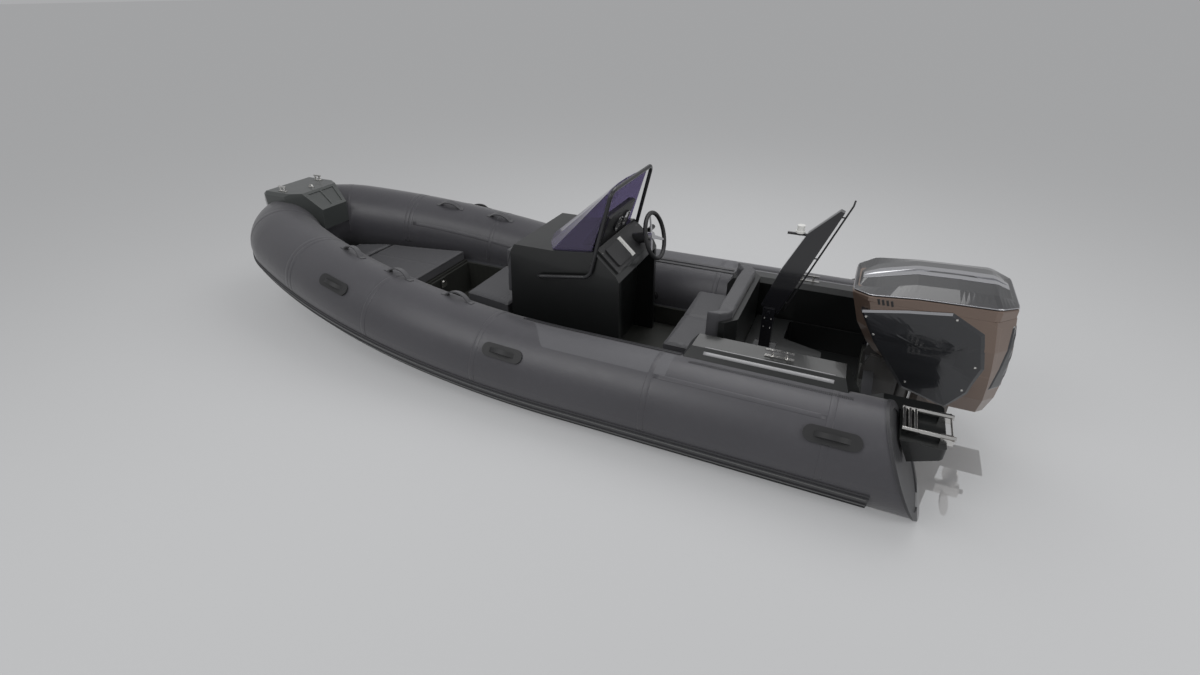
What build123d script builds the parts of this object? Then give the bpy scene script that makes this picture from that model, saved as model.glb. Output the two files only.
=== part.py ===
from build123d import *
from math import atan2, cos, degrees, radians, sin, sqrt, tan
import os

# A five metre class rigid inflatable boat with console, ski mast and outboard, in millimetres.
# X runs forward, Y to port and Z up. The origin is on the centreline at the waterline,
# on the aft face of the transom.

# Shared clearances
SEAT_GAP = 0.4
SWING_GAP = 6
PIN_GAP = 0.5
OVERRUN = 60

# Tubes: the centreline runs straight, rises with the sheer, then turns in to the bow
TUBE_R = 270
TUBE_Y = 700
TUBE_Z = 230
TUBE_AFT_X = -420
SHEER_X = 1700
SHEER_RADIUS = 6410
SHEER_ANGLE = 8.05
FLARE_RADIUS = 4900
FLARE_ANGLE = 20
BOW_RADIUS = (TUBE_Y - FLARE_RADIUS * (1 - cos(radians(FLARE_ANGLE)))) / cos(radians(FLARE_ANGLE))
BOW_JOINT_FROM_TIP = 1030
TUBE_SPANS = (
    # length, radius, bend
    (SHEER_X - TUBE_AFT_X, 0, "none"),
    (radians(SHEER_ANGLE) * SHEER_RADIUS, SHEER_RADIUS, "up"),
    (radians(FLARE_ANGLE) * FLARE_RADIUS, FLARE_RADIUS, "in"),
    (radians(90 - FLARE_ANGLE) * BOW_RADIUS, BOW_RADIUS, "in"),
)
TUBE_LENGTH = sum(length for length, radius, bend in TUBE_SPANS)
TUBE_TOP_Z = TUBE_Z + TUBE_R
INNER_Y = TUBE_Y - TUBE_R

# The middle of the bow, where the two tubes meet, to the nearest millimetre
BOW_RUN = FLARE_RADIUS * sin(radians(FLARE_ANGLE)) + BOW_RADIUS * (1 - sin(radians(FLARE_ANGLE)))
SHEER_RUN = SHEER_RADIUS * sin(radians(SHEER_ANGLE))
SHEER_LIFT = SHEER_RADIUS * (1 - cos(radians(SHEER_ANGLE)))
BOW_TIP_X = round(SHEER_X + SHEER_RUN + BOW_RUN * cos(radians(SHEER_ANGLE)))
BOW_TIP_Z = round(TUBE_Z + SHEER_LIFT + BOW_RUN * sin(radians(SHEER_ANGLE)))
BOW_TOP_Z = BOW_TIP_Z + TUBE_R

# Stern ends of the tubes
TUBE_END_TOP_X = -50
TUBE_END_RAKE = 25.3
CAP_THICKNESS = 14
CAP_LIP = 5
CAP_RIM = 34
CAP_RECESS = 7

# Fittings on the tubes: angles are measured from outboard, over the top,
# and places from the bow tip as shares of the tube's length
STRAKE_AFT_X = -60
STRAKE_LOW, STRAKE_HIGH = -50, -12
STRAKE_THICKNESS = 7
RIDGE_HEIGHT = 6
RIDGE_ANGLES = (-44, -31, -18)
RIDGE_SPREAD = 4
STRIP_ANGLES = (108, 114)
STRIP_SPREAD = 1.6
STRIP_HEIGHT = 6
STRIP_AFT_X, STRIP_FORE_X = 1000, 2030
STRAP_SPAN, STRAP_RISE, STRAP_THICKNESS, STRAP_WIDTH = 190, 48, 9, 38
STRAP_PAD = 46
STRAP_ANGLE = 104
STRAP_PLACE_SHARES = (0.253, 0.3424, 0.4375)
CARRY_LENGTH, CARRY_WIDTH, CARRY_BASE, CARRY_RISE = 270, 84, 10, 44
CARRY_GRIP = 26
CARRY_ANGLE = 41
CARRY_PLACE_SHARES = (0.2815, 0.5383, 0.8903)
VALVE_R, VALVE_HEIGHT, VALVE_FLANGE_R, VALVE_FLANGE = 20, 16, 30, 5
VALVE_ANGLE = 172
VALVE_PLACE_SHARES = (0.392, 0.628)

# Hull: a deep vee with two spray rails a side and a flat chine
HULL_DRAUGHT = 210
CHINE_INSET = 125
CHINE_DROP = 8
RIM_DROP = 30
BOW_DECK_Z = 298
HULL_STATION_SHARES = (
    # distance from the bow tip to the transom along the tube, keel rise
    (1.0, 0.0), (0.62, 0.0), (0.45, 0.05), (0.33, 0.16), (0.24, 0.33),
    (0.165, 0.54), (0.11, 0.74), (0.075, 0.88), (0.04, 0.97),
)
HULL_BOTTOM_SHARES = (
    # half-width, rise from keel to chine
    (0.03, 0.0), (0.40, 0.43), (0.45, 0.43), (0.70, 0.74), (0.75, 0.74), (0.93, 1.0), (1.0, 1.0),
)

# Deck liner: a tray with upstands that meet the tubes
SOLE_Z = 60
LINER_THICKNESS = 15
WELL_HALF = INNER_Y - 16
WELL_NECK_X, WELL_NECK_HALF = 2600, WELL_HALF
WELL_FORE_X, WELL_FORE_HALF = BOW_TIP_X - 1357, 352

# Transom
TRANSOM_THICKNESS = 55
TRANSOM_TOP_Z = 325
TRANSOM_HALF = INNER_Y - 18

# Bow step over the bow tube
STEP_AFT_X, STEP_FORE_X = BOW_TIP_X - TUBE_R - 99, BOW_TIP_X + TUBE_R + 43
STEP_BROW_X, STEP_BRINK_X = BOW_TIP_X - 237, BOW_TIP_X + 113
STEP_AFT_HALF, STEP_BROW_HALF, STEP_HALF, STEP_FORE_HALF = 122, 168, 235, 110
STEP_WIDE_SHARE = 0.3714
STEP_WIDE_X = STEP_BROW_X + STEP_WIDE_SHARE * (STEP_BRINK_X - STEP_BROW_X)
STEP_TOP_Z, STEP_PANEL_Z = BOW_TOP_Z + 54, BOW_TOP_Z - 74
STEP_NOSE_Z, STEP_SKIRT_Z = BOW_TOP_Z - 68, BOW_TIP_Z + 32
STEP_CHAMFER = 22
STEP_BORDER, STEP_RECESS = 22, 8
STEP_RIB_HALF = 7
CLEAT_LENGTH, CLEAT_WIDTH, CLEAT_HEIGHT, CLEAT_LEG = 150, 22, 34, 15
CLEAT_FOOT = 5
BOW_CLEAT_X, BOW_CLEAT_Y, BOW_CLEAT_LENGTH = BOW_TIP_X - 37, 175, 84
BOW_EYE_X = BOW_TIP_X - 152
BOW_EYE_R, BOW_EYE_WIRE = 20, 8

# Bow locker and its cushions
LOCKER_AFT_X = WELL_FORE_X
LOCKER_SEAM_X = BOW_TIP_X - 677
LOCKER_FORE_X = BOW_TIP_X - 397
LOCKER_AFT_HALF = 350
LOCKER_SEAM_HALF = 234
LOCKER_FORE_HALF = 126
LOCKER_FLOOR_Z = 205
LOCKER_TOP_Z = 300
LOCKER_WALL = 16
LID_THICKNESS = 14
CUSHION_GAP = 5
BOW_CUSHION = 84
LATCH_WIDTH, LATCH_HEIGHT, LATCH_DEPTH = 62, 78, 16

# Console
CONSOLE_HALF = 330
CONSOLE_AFT_X = 1500
CONSOLE_FORE_X = 2300
CONSOLE_WAIST_Z = 740
CONSOLE_TOP_Z = 848
CONSOLE_DASH_X, CONSOLE_DASH_Z = 1668, 880
CONSOLE_KNEE_X, CONSOLE_KNEE_Z = 1620, 700
CONSOLE_WALL = 34
SEAT_FORE_X, SEAT_FORE_HALF, SEAT_AFT_HALF = 2735, 262, 318
SEAT_BASE_TOP_Z = 296
SEAT_CUSHION = 86
PAD_LOW_Z, PAD_TOP_Z, PAD_THICKNESS, PAD_HALF = 480, 832, 46, 316

# Windscreen and its rail
SCREEN_THICKNESS = 6
SCREEN_BASE_FORE_X, SCREEN_BASE_SIDE_X, SCREEN_BASE_AFT_X = 2085, 1960, 1700
SCREEN_TOP_Z = 1236
SCREEN_TOP_FORE_X, SCREEN_TOP_SIDE_X, SCREEN_TOP_AFT_X = 1622, 1592, 1572
SCREEN_HALF, SCREEN_TOP_HALF = 312, 296
SCREEN_CORNER_SHARE = 0.62
RAIL_R = 12.5
RAIL_HALF, RAIL_TOP_HALF = 352, 322
RAIL_FORE_X, RAIL_FORE_Z = 2040, 668
RAIL_KNEE_X, RAIL_KNEE_Z = 1690, 722
RAIL_TOP_X, RAIL_TOP_Z = 1548, 1262
RAIL_KNEE_BEND, RAIL_TOP_BEND, RAIL_FOOT_BEND = 62, 52, 16
RAIL_FOOT_R = 24

# Dash: a slanted panel with an instrument pod above it
DASH_THICKNESS = 12
DASH_HALF = 292
POD_HALF = 205
POD_TOP_X, POD_TOP_Z = 1622, 1068
POD_FORE_X = 1800
POD_LIP_X = 1600
GAUGE_R, GAUGE_DEPTH, GAUGE_BEZEL = 52, 14, 5
GLOVE_WIDTH, GLOVE_HEIGHT, GLOVE_THICKNESS = 190, 132, 12
GLOVE_Y = 150
GLOVE_RIM, GLOVE_DEPTH = 14, 66
SWITCH_WIDTH, SWITCH_HEIGHT, SWITCH_THICKNESS = 44, 150, 6
SWITCH_Y = 22
SWITCH_COUNT = 6
ROCKER_WIDTH, ROCKER_LENGTH, ROCKER_RISE = 22, 15, 5
THROTTLE_Y = -372
THROTTLE_X, THROTTLE_Z = 1572, 690
THROTTLE_BASE, THROTTLE_DEPTH = 96, 34
THROTTLE_LEVER, THROTTLE_LEVER_R = 165, 9
THROTTLE_GRIP_R, THROTTLE_GRIP = 17, 78

# Steering wheel
WHEEL_X, WHEEL_Y, WHEEL_Z = 1449, -150, 852
WHEEL_R, WHEEL_RIM_R = 148, 14
WHEEL_TILT = 16.3
WHEEL_DISH = 22
HUB_R, HUB_LENGTH = 27, 34
SPOKE_WIDTH, SPOKE_THICKNESS = 26, 7
SPOKE_COUNT = 3
COLUMN_R, COLUMN_SHAFT_R = 36, 11

# Bench
BENCH_FORE_X, BENCH_AFT_X = 1195, 800
BENCH_HALF = INNER_Y - 30
BENCH_BASE_TOP_Z = 302
BENCH_WALL = 16
BENCH_TOE = 60
BENCH_LID = 12
BENCH_CUSHION = 84
BENCH_CUSHION_AFT_X = 938
BACKREST_LOW_Z, BACKREST_TOP_Z = 440, 662
BACKREST_X, BACKREST_THICKNESS = 800, 88
BACKREST_HALF, BACKREST_WING = INNER_Y - 45, 70
BACKREST_WING_FORE = 60
SHELL_THICKNESS = 34
SHELL_TOP_Z = 610

# Stern mouldings: coamings on the tubes, aft deck with a splash well, swim platforms
COAMING_FORE_X, COAMING_SHOULDER_X, COAMING_HEEL_X, COAMING_AFT_X = 1000, 905, 158, 58
COAMING_OUTER_Y, COAMING_STRIPE_Y, COAMING_INNER_Y = TUBE_Y - 45, TUBE_Y - 132, INNER_Y - 10
COAMING_OUTER_Z, COAMING_STRIPE_Z, COAMING_TOP_Z = TUBE_TOP_Z - 30, TUBE_TOP_Z + 36, TUBE_TOP_Z + 50
COAMING_HEEL_Z = TUBE_TOP_Z - 128
STERN_CLEAT_X, STERN_CLEAT_Y = 490, TUBE_Y - 180
AFT_DECK_TOP_Z = 288
SPLASH_HALF = INNER_Y - 38
SPLASH_FORE_X, SPLASH_TONGUE_X = 545, 300
SPLASH_TONGUE_AFT_HALF, SPLASH_TONGUE_FORE_HALF = 62, 140
SPLASH_FLOOR_Z = 110
SPLASH_FILLET = 26
PLATFORM_AFT_X = round(TUBE_END_TOP_X - 2 * TUBE_R * tan(radians(TUBE_END_RAKE)) - 41)
PLATFORM_INNER_Y, PLATFORM_OUTER_Y = TUBE_Y - 362, TUBE_Y + 16
PLATFORM_TOP_Z, PLATFORM_LIP, PLATFORM_ROOT_Z = 352, 58, 150
PLATFORM_FILLET = 24

# Boarding ladder, stowed on the port platform
LADDER_AFT_X, LADDER_FORE_X = PLATFORM_AFT_X - 19, PLATFORM_AFT_X + 201
LADDER_INNER_Y, LADDER_OUTER_Y = 470, 650
LADDER_Z = 380
LADDER_RAIL_R = 13
LADDER_NEST_R = 10.5
LADDER_NEST_STEP = 26
LADDER_RUNG_R = 9
LADDER_SECTIONS = 3
LADDER_PIN_R = 5
LADDER_LUG, LADDER_LUG_REACH = 8, 34

# Ski mast with its light
MAST_X, MAST_Z = 640, 560
MAST_POST_HALF_X, MAST_POST_HALF_Y = 34, 30
MAST_CHEEK = 9
MAST_CHEEK_TOP = 62
MAST_PIN_R = 9
MAST_BLADE_LOW, MAST_BLADE_TOP = 112, 100
MAST_THICKNESS = 44
MAST_RAKE = 21.5
MAST_LENGTH = 520
MAST_TIP = 190
MAST_TIP_WIDTH = 24
MAST_SPINE = 18
MAST_BAR_X, MAST_BAR_Z, MAST_BAR_LENGTH, MAST_BAR_R = 605, 1048, 135, 8
LIGHT_R, LIGHT_HEIGHT, LIGHT_BASE_R, LIGHT_BASE = 21, 40, 26, 12

# Outboard: tilt axis, steering axis, brackets
TILT_X, TILT_Z = -40, 398
TILT_TUBE_R, TILT_TUBE_HALF = 16, 112
CLAMP_INNER_Y, CLAMP_OUTER_Y = 78, 104
CLAMP_FORE = 16
CLAMP_LOW_Z = 20
CLAMP_AFT_X = -112
CLAMP_TOP_Z = 428
STEER_X = -168
KINGPIN_R = 17
SWIVEL_HALF = 70
SWIVEL_TOP_Z, SWIVEL_LOW_Z = 440, -8
SWIVEL_BOSS_R = 46
YOKE_THICKNESS = 28
YOKE_HALF = 62

# Outboard: leg, gearcase and propeller
LEG_FORE_X, LEG_AFT_X = -222, -430
LEG_HALF = 64
LEG_TOP_Z, LEG_LOW_Z = 552, -196
LEG_FOOT_FORE_X, LEG_FOOT_AFT_X, LEG_FOOT_HALF = -262, -500, 44
PLATE_Z, PLATE_THICKNESS = -208, 12
PLATE_FORE_X, PLATE_AFT_X, PLATE_HALF = -262, -690, 112
GEAR_Z, GEAR_R = -452, 52
GEAR_NOSE_X, GEAR_AFT_X = -232, -500
STRUT_FORE_X, STRUT_AFT_X, STRUT_HALF = -292, -490, 27
SKEG_LOW_Z, SKEG_FORE_X, SKEG_AFT_X, SKEG_HALF = -670, -372, -470, 8
PROP_HUB_R, PROP_HUB_LENGTH = 44, 132
PROP_R = 176
PROP_BLADES = 3
PROP_PITCH_ANGLE = 32
PROP_BLADE_THICKNESS = 7
PROP_BLADE_CHORD = 128
PROP_NUT_R, PROP_NUT = 15, 24
PROP_SHAFT_R = 12

# Outboard cowl: levels from the chin to the crown
COWL_LEVEL_SHARES = (
    # height, fore, aft, half-width
    (0.00, -0.45, -0.96, 0.42), (0.16, -0.26, -0.99, 0.64), (0.30, -0.02, -0.99, 0.76),
    (0.46, 0.40, -0.98, 0.88), (0.62, 0.72, -0.96, 0.98), (0.87, 1.00, -0.90, 1.00),
    (0.93, 1.00, -0.85, 0.93), (1.00, 0.25, -0.66, 0.70),
)
COWL_LOW_Z, COWL_TOP_Z = 212, 946
COWL_FORE_REACH, COWL_AFT_REACH = 212, 600
COWL_HALF = 268
COWL_NOTCH_HALF = 150
COWL_NOTCH_AFT_X, COWL_NOTCH_Z = -238, 532
COWL_SWEEP_Z = 490
STEER_LIMIT = 30
CROWN_SPLIT_Z = 836
PANEL_DEPTH = 46
PANEL_OUTLINE_SHARES = (
    # fore and aft, height, both as shares of the cowl
    (0.64, 0.82), (-0.60, 0.88), (-0.80, 0.80), (-0.88, 0.44), (-0.80, 0.12), (-0.50, 0.10),
    (-0.24, 0.20), (0.10, 0.40), (0.44, 0.56),
)


def moved(plane, length, radius, bend):
    """The cross-section plane of a tube after one span of its centreline."""
    if not radius:
        return Plane(plane.origin + plane.z_dir * length, plane.x_dir, plane.z_dir)
    angle = length / radius
    toward = plane.y_dir if bend == "up" else -plane.x_dir
    origin = plane.origin + plane.z_dir * (radius * sin(angle)) + toward * (radius * (1 - cos(angle)))
    forward = plane.z_dir * cos(angle) + toward * sin(angle)
    outboard = plane.x_dir if bend == "up" else plane.x_dir * cos(angle) + plane.z_dir * sin(angle)
    return Plane(origin, outboard, forward)


def tube_plane(travel):
    """The port tube's cross-section plane: X outboard, Y up, Z along the tube to the bow."""
    plane = Plane((TUBE_AFT_X, TUBE_Y, TUBE_Z), (0, 1, 0), (1, 0, 0))
    for length, radius, bend in TUBE_SPANS:
        plane = moved(plane, min(travel, length), radius, bend)
        travel = max(travel - length, 0)
    return plane


def bend_axis(plane, radius, bend):
    """The axis about which one span of the tube turns."""
    if bend == "up":
        return Axis(plane.origin + plane.y_dir * radius, -plane.x_dir)
    return Axis(plane.origin - plane.x_dir * radius, -plane.y_dir)


def along_tube(section, first=0, last=TUBE_LENGTH):
    """A section run along the port tube between two distances from its aft end."""
    run = Part()
    start = 0
    for length, radius, bend in TUBE_SPANS:
        begin, end = max(first, start), min(last, start + length)
        if end > begin:
            plane = tube_plane(begin)
            face = plane * section
            if radius:
                run += revolve(face, bend_axis(plane, radius, bend), degrees((end - begin) / radius))
            else:
                run += extrude(face, end - begin, dir=plane.z_dir)
        start += length
    return run


def travel_at(x):
    """Distance along the tube of a place on its straight part."""
    return x - TUBE_AFT_X


def skin_plane(travel, angle):
    """A plane on the tube's skin: X along the tube, Z straight out."""
    plane = tube_plane(travel)
    out = plane.x_dir * cos(radians(angle)) + plane.y_dir * sin(radians(angle))
    return Plane(plane.origin + out * TUBE_R, plane.z_dir, out)


def mirrored(shape):
    """The starboard twin of a port shape."""
    return mirror(shape, Plane.XZ)


def pair(shape):
    """A port shape with its starboard twin."""
    return [shape, mirrored(shape)]


def block(x0, x1, y0, y1, z0, z1):
    """A box between two values on each axis."""
    place = Pos((x0 + x1) / 2, (y0 + y1) / 2, (z0 + z1) / 2)
    return place * Box(abs(x1 - x0), abs(y1 - y0), abs(z1 - z0))


def side_prism(outline, y0, y1):
    """An outline of (x, z) points run across the boat from y0 to y1."""
    face = make_face(Polyline(*[(x, y0, z) for x, z in outline], close=True))
    return extrude(face, y1 - y0, dir=(0, 1, 0))


def plan_prism(outline, z0, z1):
    """An outline of (x, y) points run up from z0 to z1."""
    face = make_face(Polyline(*[(x, y, z0) for x, y in outline], close=True))
    return extrude(face, z1 - z0, dir=(0, 0, 1))


def both_halves(outline):
    """An outline of (x, half-width) points closed by its starboard half."""
    return list(outline) + [(x, -y) for x, y in reversed(outline)]


def rod(start, end, radius):
    """A round bar between two points."""
    start, end = Vector(*start), Vector(*end)
    plane = Plane(start, z_dir=end - start)
    return extrude(plane * Circle(radius), (end - start).length)


def bent_rod(points, radii, radius):
    """A round bar along straight runs with rounded corners."""
    path = FilletPolyline(*points, radius=radii)
    return sweep(Plane(path @ 0, z_dir=path % 0) * Circle(radius), path)


def softened(shape, axis, radius):
    """A shape with its edges along one axis rounded."""
    return fillet(shape.edges().filter_by(axis), radius)


def ring_sector(inner, outer, low, high):
    """A piece of a ring between two angles, measured from outboard."""
    reach = 2 * outer
    corners = [(reach * cos(radians(a)), reach * sin(radians(a))) for a in (low, (low + high) / 2, high)]
    return (Circle(outer) - Circle(inner)) & make_face(Polyline((0, 0), *corners, close=True))


def rake_plane(shift=0):
    """The raked plane that ends the tubes, moved aft by a shift."""
    lean = radians(TUBE_END_RAKE)
    normal = Vector(cos(lean), 0, -sin(lean))
    return Plane(Vector(TUBE_END_TOP_X, 0, TUBE_Z + TUBE_R) - normal * shift, z_dir=normal)


def tube_core(clearance=SEAT_GAP):
    """Both tubes with their end caps and a clearance, which seats and ends the pieces around them."""
    run = along_tube(Circle(TUBE_R + clearance))
    run = split(run, rake_plane(CAP_THICKNESS + clearance), keep=Keep.TOP)
    return run + mirrored(run)


def collars():
    """Port, starboard and bow lengths of the inflatable tube."""
    joint = TUBE_LENGTH - BOW_JOINT_FROM_TIP
    side = split(along_tube(Circle(TUBE_R), 0, joint), rake_plane(), keep=Keep.TOP)
    bow = along_tube(Circle(TUBE_R), joint)
    return side, mirrored(side), bow + mirrored(bow)


def tube_end_caps():
    """Raked cap on each tube's stern end, with a recessed middle."""
    blank = along_tube(Circle(TUBE_R + CAP_LIP), 0, travel_at(SHEER_X))
    cap = split(blank, rake_plane(SEAT_GAP), keep=Keep.BOTTOM)
    cap = split(cap, rake_plane(CAP_THICKNESS), keep=Keep.TOP)
    recess = along_tube(Circle(TUBE_R - CAP_RIM), 0, travel_at(SHEER_X))
    recess = split(recess, rake_plane(CAP_THICKNESS - CAP_RECESS), keep=Keep.BOTTOM)
    return pair(cap - recess)


def rub_strake():
    """Rubbing strake low on the outboard side, with raised ridges, right round the bow."""
    skin = TUBE_R + SEAT_GAP
    section = ring_sector(skin, TUBE_R + STRAKE_THICKNESS, STRAKE_LOW, STRAKE_HIGH)
    for angle in RIDGE_ANGLES:
        top = TUBE_R + STRAKE_THICKNESS + RIDGE_HEIGHT
        section += ring_sector(skin, top, angle - RIDGE_SPREAD / 2, angle + RIDGE_SPREAD / 2)
    run = along_tube(section, travel_at(STRAKE_AFT_X))
    return run + mirrored(run)


def tube_top_strips():
    """Twin raised strips on top of each tube, from the stern coaming to the console."""
    strips = []
    for angle in STRIP_ANGLES:
        section = ring_sector(TUBE_R + SEAT_GAP, TUBE_R + STRIP_HEIGHT, angle - STRIP_SPREAD, angle + STRIP_SPREAD)
        strips += pair(along_tube(section, travel_at(STRIP_AFT_X), travel_at(STRIP_FORE_X)))
    return strips


def arch(span, rise, thickness, width):
    """A flat strap bent into an arch, standing on its ends."""
    outer = ThreePointArc((-span / 2, 0, 0), (0, 0, rise), (span / 2, 0, 0))
    inner = ThreePointArc((span / 2 - thickness, 0, 0), (0, 0, rise - thickness), (thickness - span / 2, 0, 0))
    ends = [Line(outer @ 1, inner @ 0), Line(inner @ 1, outer @ 0)]
    face = make_face([outer, inner, *ends])
    return extrude(face, width / 2, dir=(0, 1, 0), both=True)


def grab_handles(core):
    """Ribbed strap handles on top of the tubes, three a side."""
    handles = []
    foot = Pos(0, 0, -STRAP_THICKNESS) * Box(STRAP_PAD, STRAP_WIDTH, 3 * STRAP_THICKNESS)
    strap = arch(STRAP_SPAN, STRAP_RISE, STRAP_THICKNESS, STRAP_WIDTH)
    strap += Pos(-STRAP_SPAN / 2, 0, 0) * foot
    strap += Pos(STRAP_SPAN / 2, 0, 0) * foot
    for share in STRAP_PLACE_SHARES:
        handles += pair((skin_plane(TUBE_LENGTH * (1 - share), STRAP_ANGLE) * strap) - core)
    return handles


def carry_handles(core):
    """Moulded oval carrying handles on the outboard side of the tubes."""
    depth = CARRY_BASE + CARRY_WIDTH / 4
    base = extrude(SlotOverall(CARRY_LENGTH, CARRY_WIDTH), CARRY_BASE)
    base += extrude(SlotOverall(CARRY_LENGTH, CARRY_WIDTH), -depth)
    grip = arch(CARRY_LENGTH - CARRY_WIDTH, CARRY_RISE, CARRY_BASE, CARRY_GRIP)
    handle = base + grip
    places = [TUBE_LENGTH * (1 - share) for share in CARRY_PLACE_SHARES]
    return [twin for travel in places for twin in pair((skin_plane(travel, CARRY_ANGLE) * handle) - core)]


def tube_valves(core):
    """Inflation valves on the inner side of the tubes."""
    valve = extrude(Circle(VALVE_FLANGE_R), VALVE_FLANGE) + extrude(Circle(VALVE_R), VALVE_HEIGHT)
    valve += extrude(Circle(VALVE_FLANGE_R), -VALVE_FLANGE)
    places = [TUBE_LENGTH * (1 - share) for share in VALVE_PLACE_SHARES]
    return [twin for travel in places for twin in pair((skin_plane(travel, VALVE_ANGLE) * valve) - core)]


def hull_section(travel, rise):
    """One cross-section of the hull, which follows the tube above it."""
    plane = tube_plane(travel)
    under = CHINE_INSET * plane.x_dir.Y
    chine_z = plane.origin.Z - sqrt(TUBE_R**2 - under**2) - CHINE_DROP
    chine_y = plane.origin.Y - CHINE_INSET
    keel_z = chine_z * rise - HULL_DRAUGHT * (1 - rise)
    half = [(y * chine_y, keel_z + z * (chine_z - keel_z)) for y, z in HULL_BOTTOM_SHARES]
    half.append((chine_y, min(plane.origin.Z - RIM_DROP, BOW_DECK_Z)))
    outline = half + [(-y, z) for y, z in reversed(half)]
    return make_face(Polyline(*[(plane.origin.X, y, z) for y, z in outline], close=True))


def well_outline(inset=0):
    """Plan of the deck well inside its walls."""
    return both_halves([
        (TRANSOM_THICKNESS + inset, WELL_HALF - inset),
        (WELL_NECK_X, WELL_NECK_HALF - inset),
        (WELL_FORE_X - inset, WELL_FORE_HALF - inset),
    ])


def locker_outline(inset=0, aft=LOCKER_AFT_X, fore=LOCKER_FORE_X):
    """Plan of the bow locker between two stations."""
    def half(x):
        if x < LOCKER_SEAM_X:
            share = (x - LOCKER_AFT_X) / (LOCKER_SEAM_X - LOCKER_AFT_X)
            return LOCKER_AFT_HALF + share * (LOCKER_SEAM_HALF - LOCKER_AFT_HALF)
        share = (x - LOCKER_SEAM_X) / (LOCKER_FORE_X - LOCKER_SEAM_X)
        return LOCKER_SEAM_HALF + share * (LOCKER_FORE_HALF - LOCKER_SEAM_HALF)
    stations = [aft + inset] + [LOCKER_SEAM_X] * (aft < LOCKER_SEAM_X < fore) + [fore - inset]
    return both_halves([(x, half(x) - inset) for x in stations])


def hull_form(core):
    """Vee hull with spray rails, hollowed where the liner, the locker and the tubes seat."""
    first = travel_at(0)
    sections = []
    for share, rise in HULL_STATION_SHARES:
        travel = TUBE_LENGTH - share * (TUBE_LENGTH - first)
        sections.append(hull_section(travel, rise))
    body = loft(sections, ruled=True)
    body -= plan_prism(well_outline(), SOLE_Z - LINER_THICKNESS, LOCKER_TOP_Z + OVERRUN)
    body -= block(-OVERRUN, TRANSOM_THICKNESS, -TUBE_Y, TUBE_Y, SOLE_Z - LINER_THICKNESS, LOCKER_TOP_Z)
    body -= plan_prism(locker_outline(), LOCKER_FLOOR_Z - LOCKER_WALL, LOCKER_TOP_Z + OVERRUN)
    return body - core


def seam(x, z):
    """A glued seam across the boat at one station, from one level up."""
    return block(x, x + SEAT_GAP, -TUBE_Y, TUBE_Y, z, LOCKER_TOP_Z + OVERRUN)


def hull(core):
    """Lower moulding of the hull: under the deck well, and under the bow locker."""
    sole, shelf = SOLE_Z - LINER_THICKNESS, LOCKER_FLOOR_Z - LOCKER_WALL
    aft = block(-OVERRUN, WELL_FORE_X, -TUBE_Y, TUBE_Y, -HULL_DRAUGHT - OVERRUN, sole)
    fore = block(WELL_FORE_X + SEAT_GAP, BOW_TIP_X + TUBE_R, -TUBE_Y, TUBE_Y, -HULL_DRAUGHT - OVERRUN, shelf)
    form = hull_form(core)
    return [form & aft, form & fore]


def hull_sides(core):
    """Upper mouldings of the hull: between the tubes and the deck well, and round the bow locker."""
    sole, shelf = SOLE_Z - LINER_THICKNESS, LOCKER_FLOOR_Z - LOCKER_WALL
    aft = block(-OVERRUN, WELL_FORE_X, -TUBE_Y, TUBE_Y, sole + SEAT_GAP, LOCKER_TOP_Z + OVERRUN)
    aft -= seam(WELL_NECK_X, sole)
    fore = block(WELL_FORE_X + SEAT_GAP, BOW_TIP_X + TUBE_R, -TUBE_Y, TUBE_Y, shelf + SEAT_GAP, LOCKER_TOP_Z + OVERRUN)
    fore -= seam(LOCKER_SEAM_X, shelf)
    fore -= seam(LOCKER_FORE_X, shelf)
    form = hull_form(core)
    return [form & aft, form & fore]


def deck_liner(core):
    """Inner moulding: the sole, and upstands that rise to the tubes."""
    wall_top = [(TRANSOM_THICKNESS, TUBE_Z - RIM_DROP), (SHEER_X, TUBE_Z - RIM_DROP), (WELL_FORE_X, BOW_DECK_Z)]
    outline = [(TRANSOM_THICKNESS, SOLE_Z - LINER_THICKNESS), *wall_top, (WELL_FORE_X, SOLE_Z - LINER_THICKNESS)]
    tray = plan_prism(well_outline(), SOLE_Z - LINER_THICKNESS, LOCKER_TOP_Z)
    tray &= side_prism(outline, -TUBE_Y, TUBE_Y)
    tray -= plan_prism(well_outline(LINER_THICKNESS), SOLE_Z, LOCKER_TOP_Z + OVERRUN)
    tray -= block(-OVERRUN, WELL_FORE_X + OVERRUN, -TUBE_Y, TUBE_Y, SOLE_Z, SOLE_Z + SEAT_GAP)
    for x in (TRANSOM_THICKNESS + LINER_THICKNESS, WELL_NECK_X, WELL_FORE_X - LINER_THICKNESS - SEAT_GAP):
        tray -= seam(x, SOLE_Z)
    return tray - core


def transom(core):
    """Engine board across the stern, between the tubes."""
    board = block(0, TRANSOM_THICKNESS - SEAT_GAP, -TUBE_Y, TUBE_Y, SOLE_Z - LINER_THICKNESS, TRANSOM_TOP_Z)
    return (board - core) & block(-OVERRUN, OVERRUN, -TRANSOM_HALF, TRANSOM_HALF, 0, TRANSOM_TOP_Z + OVERRUN)


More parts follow.
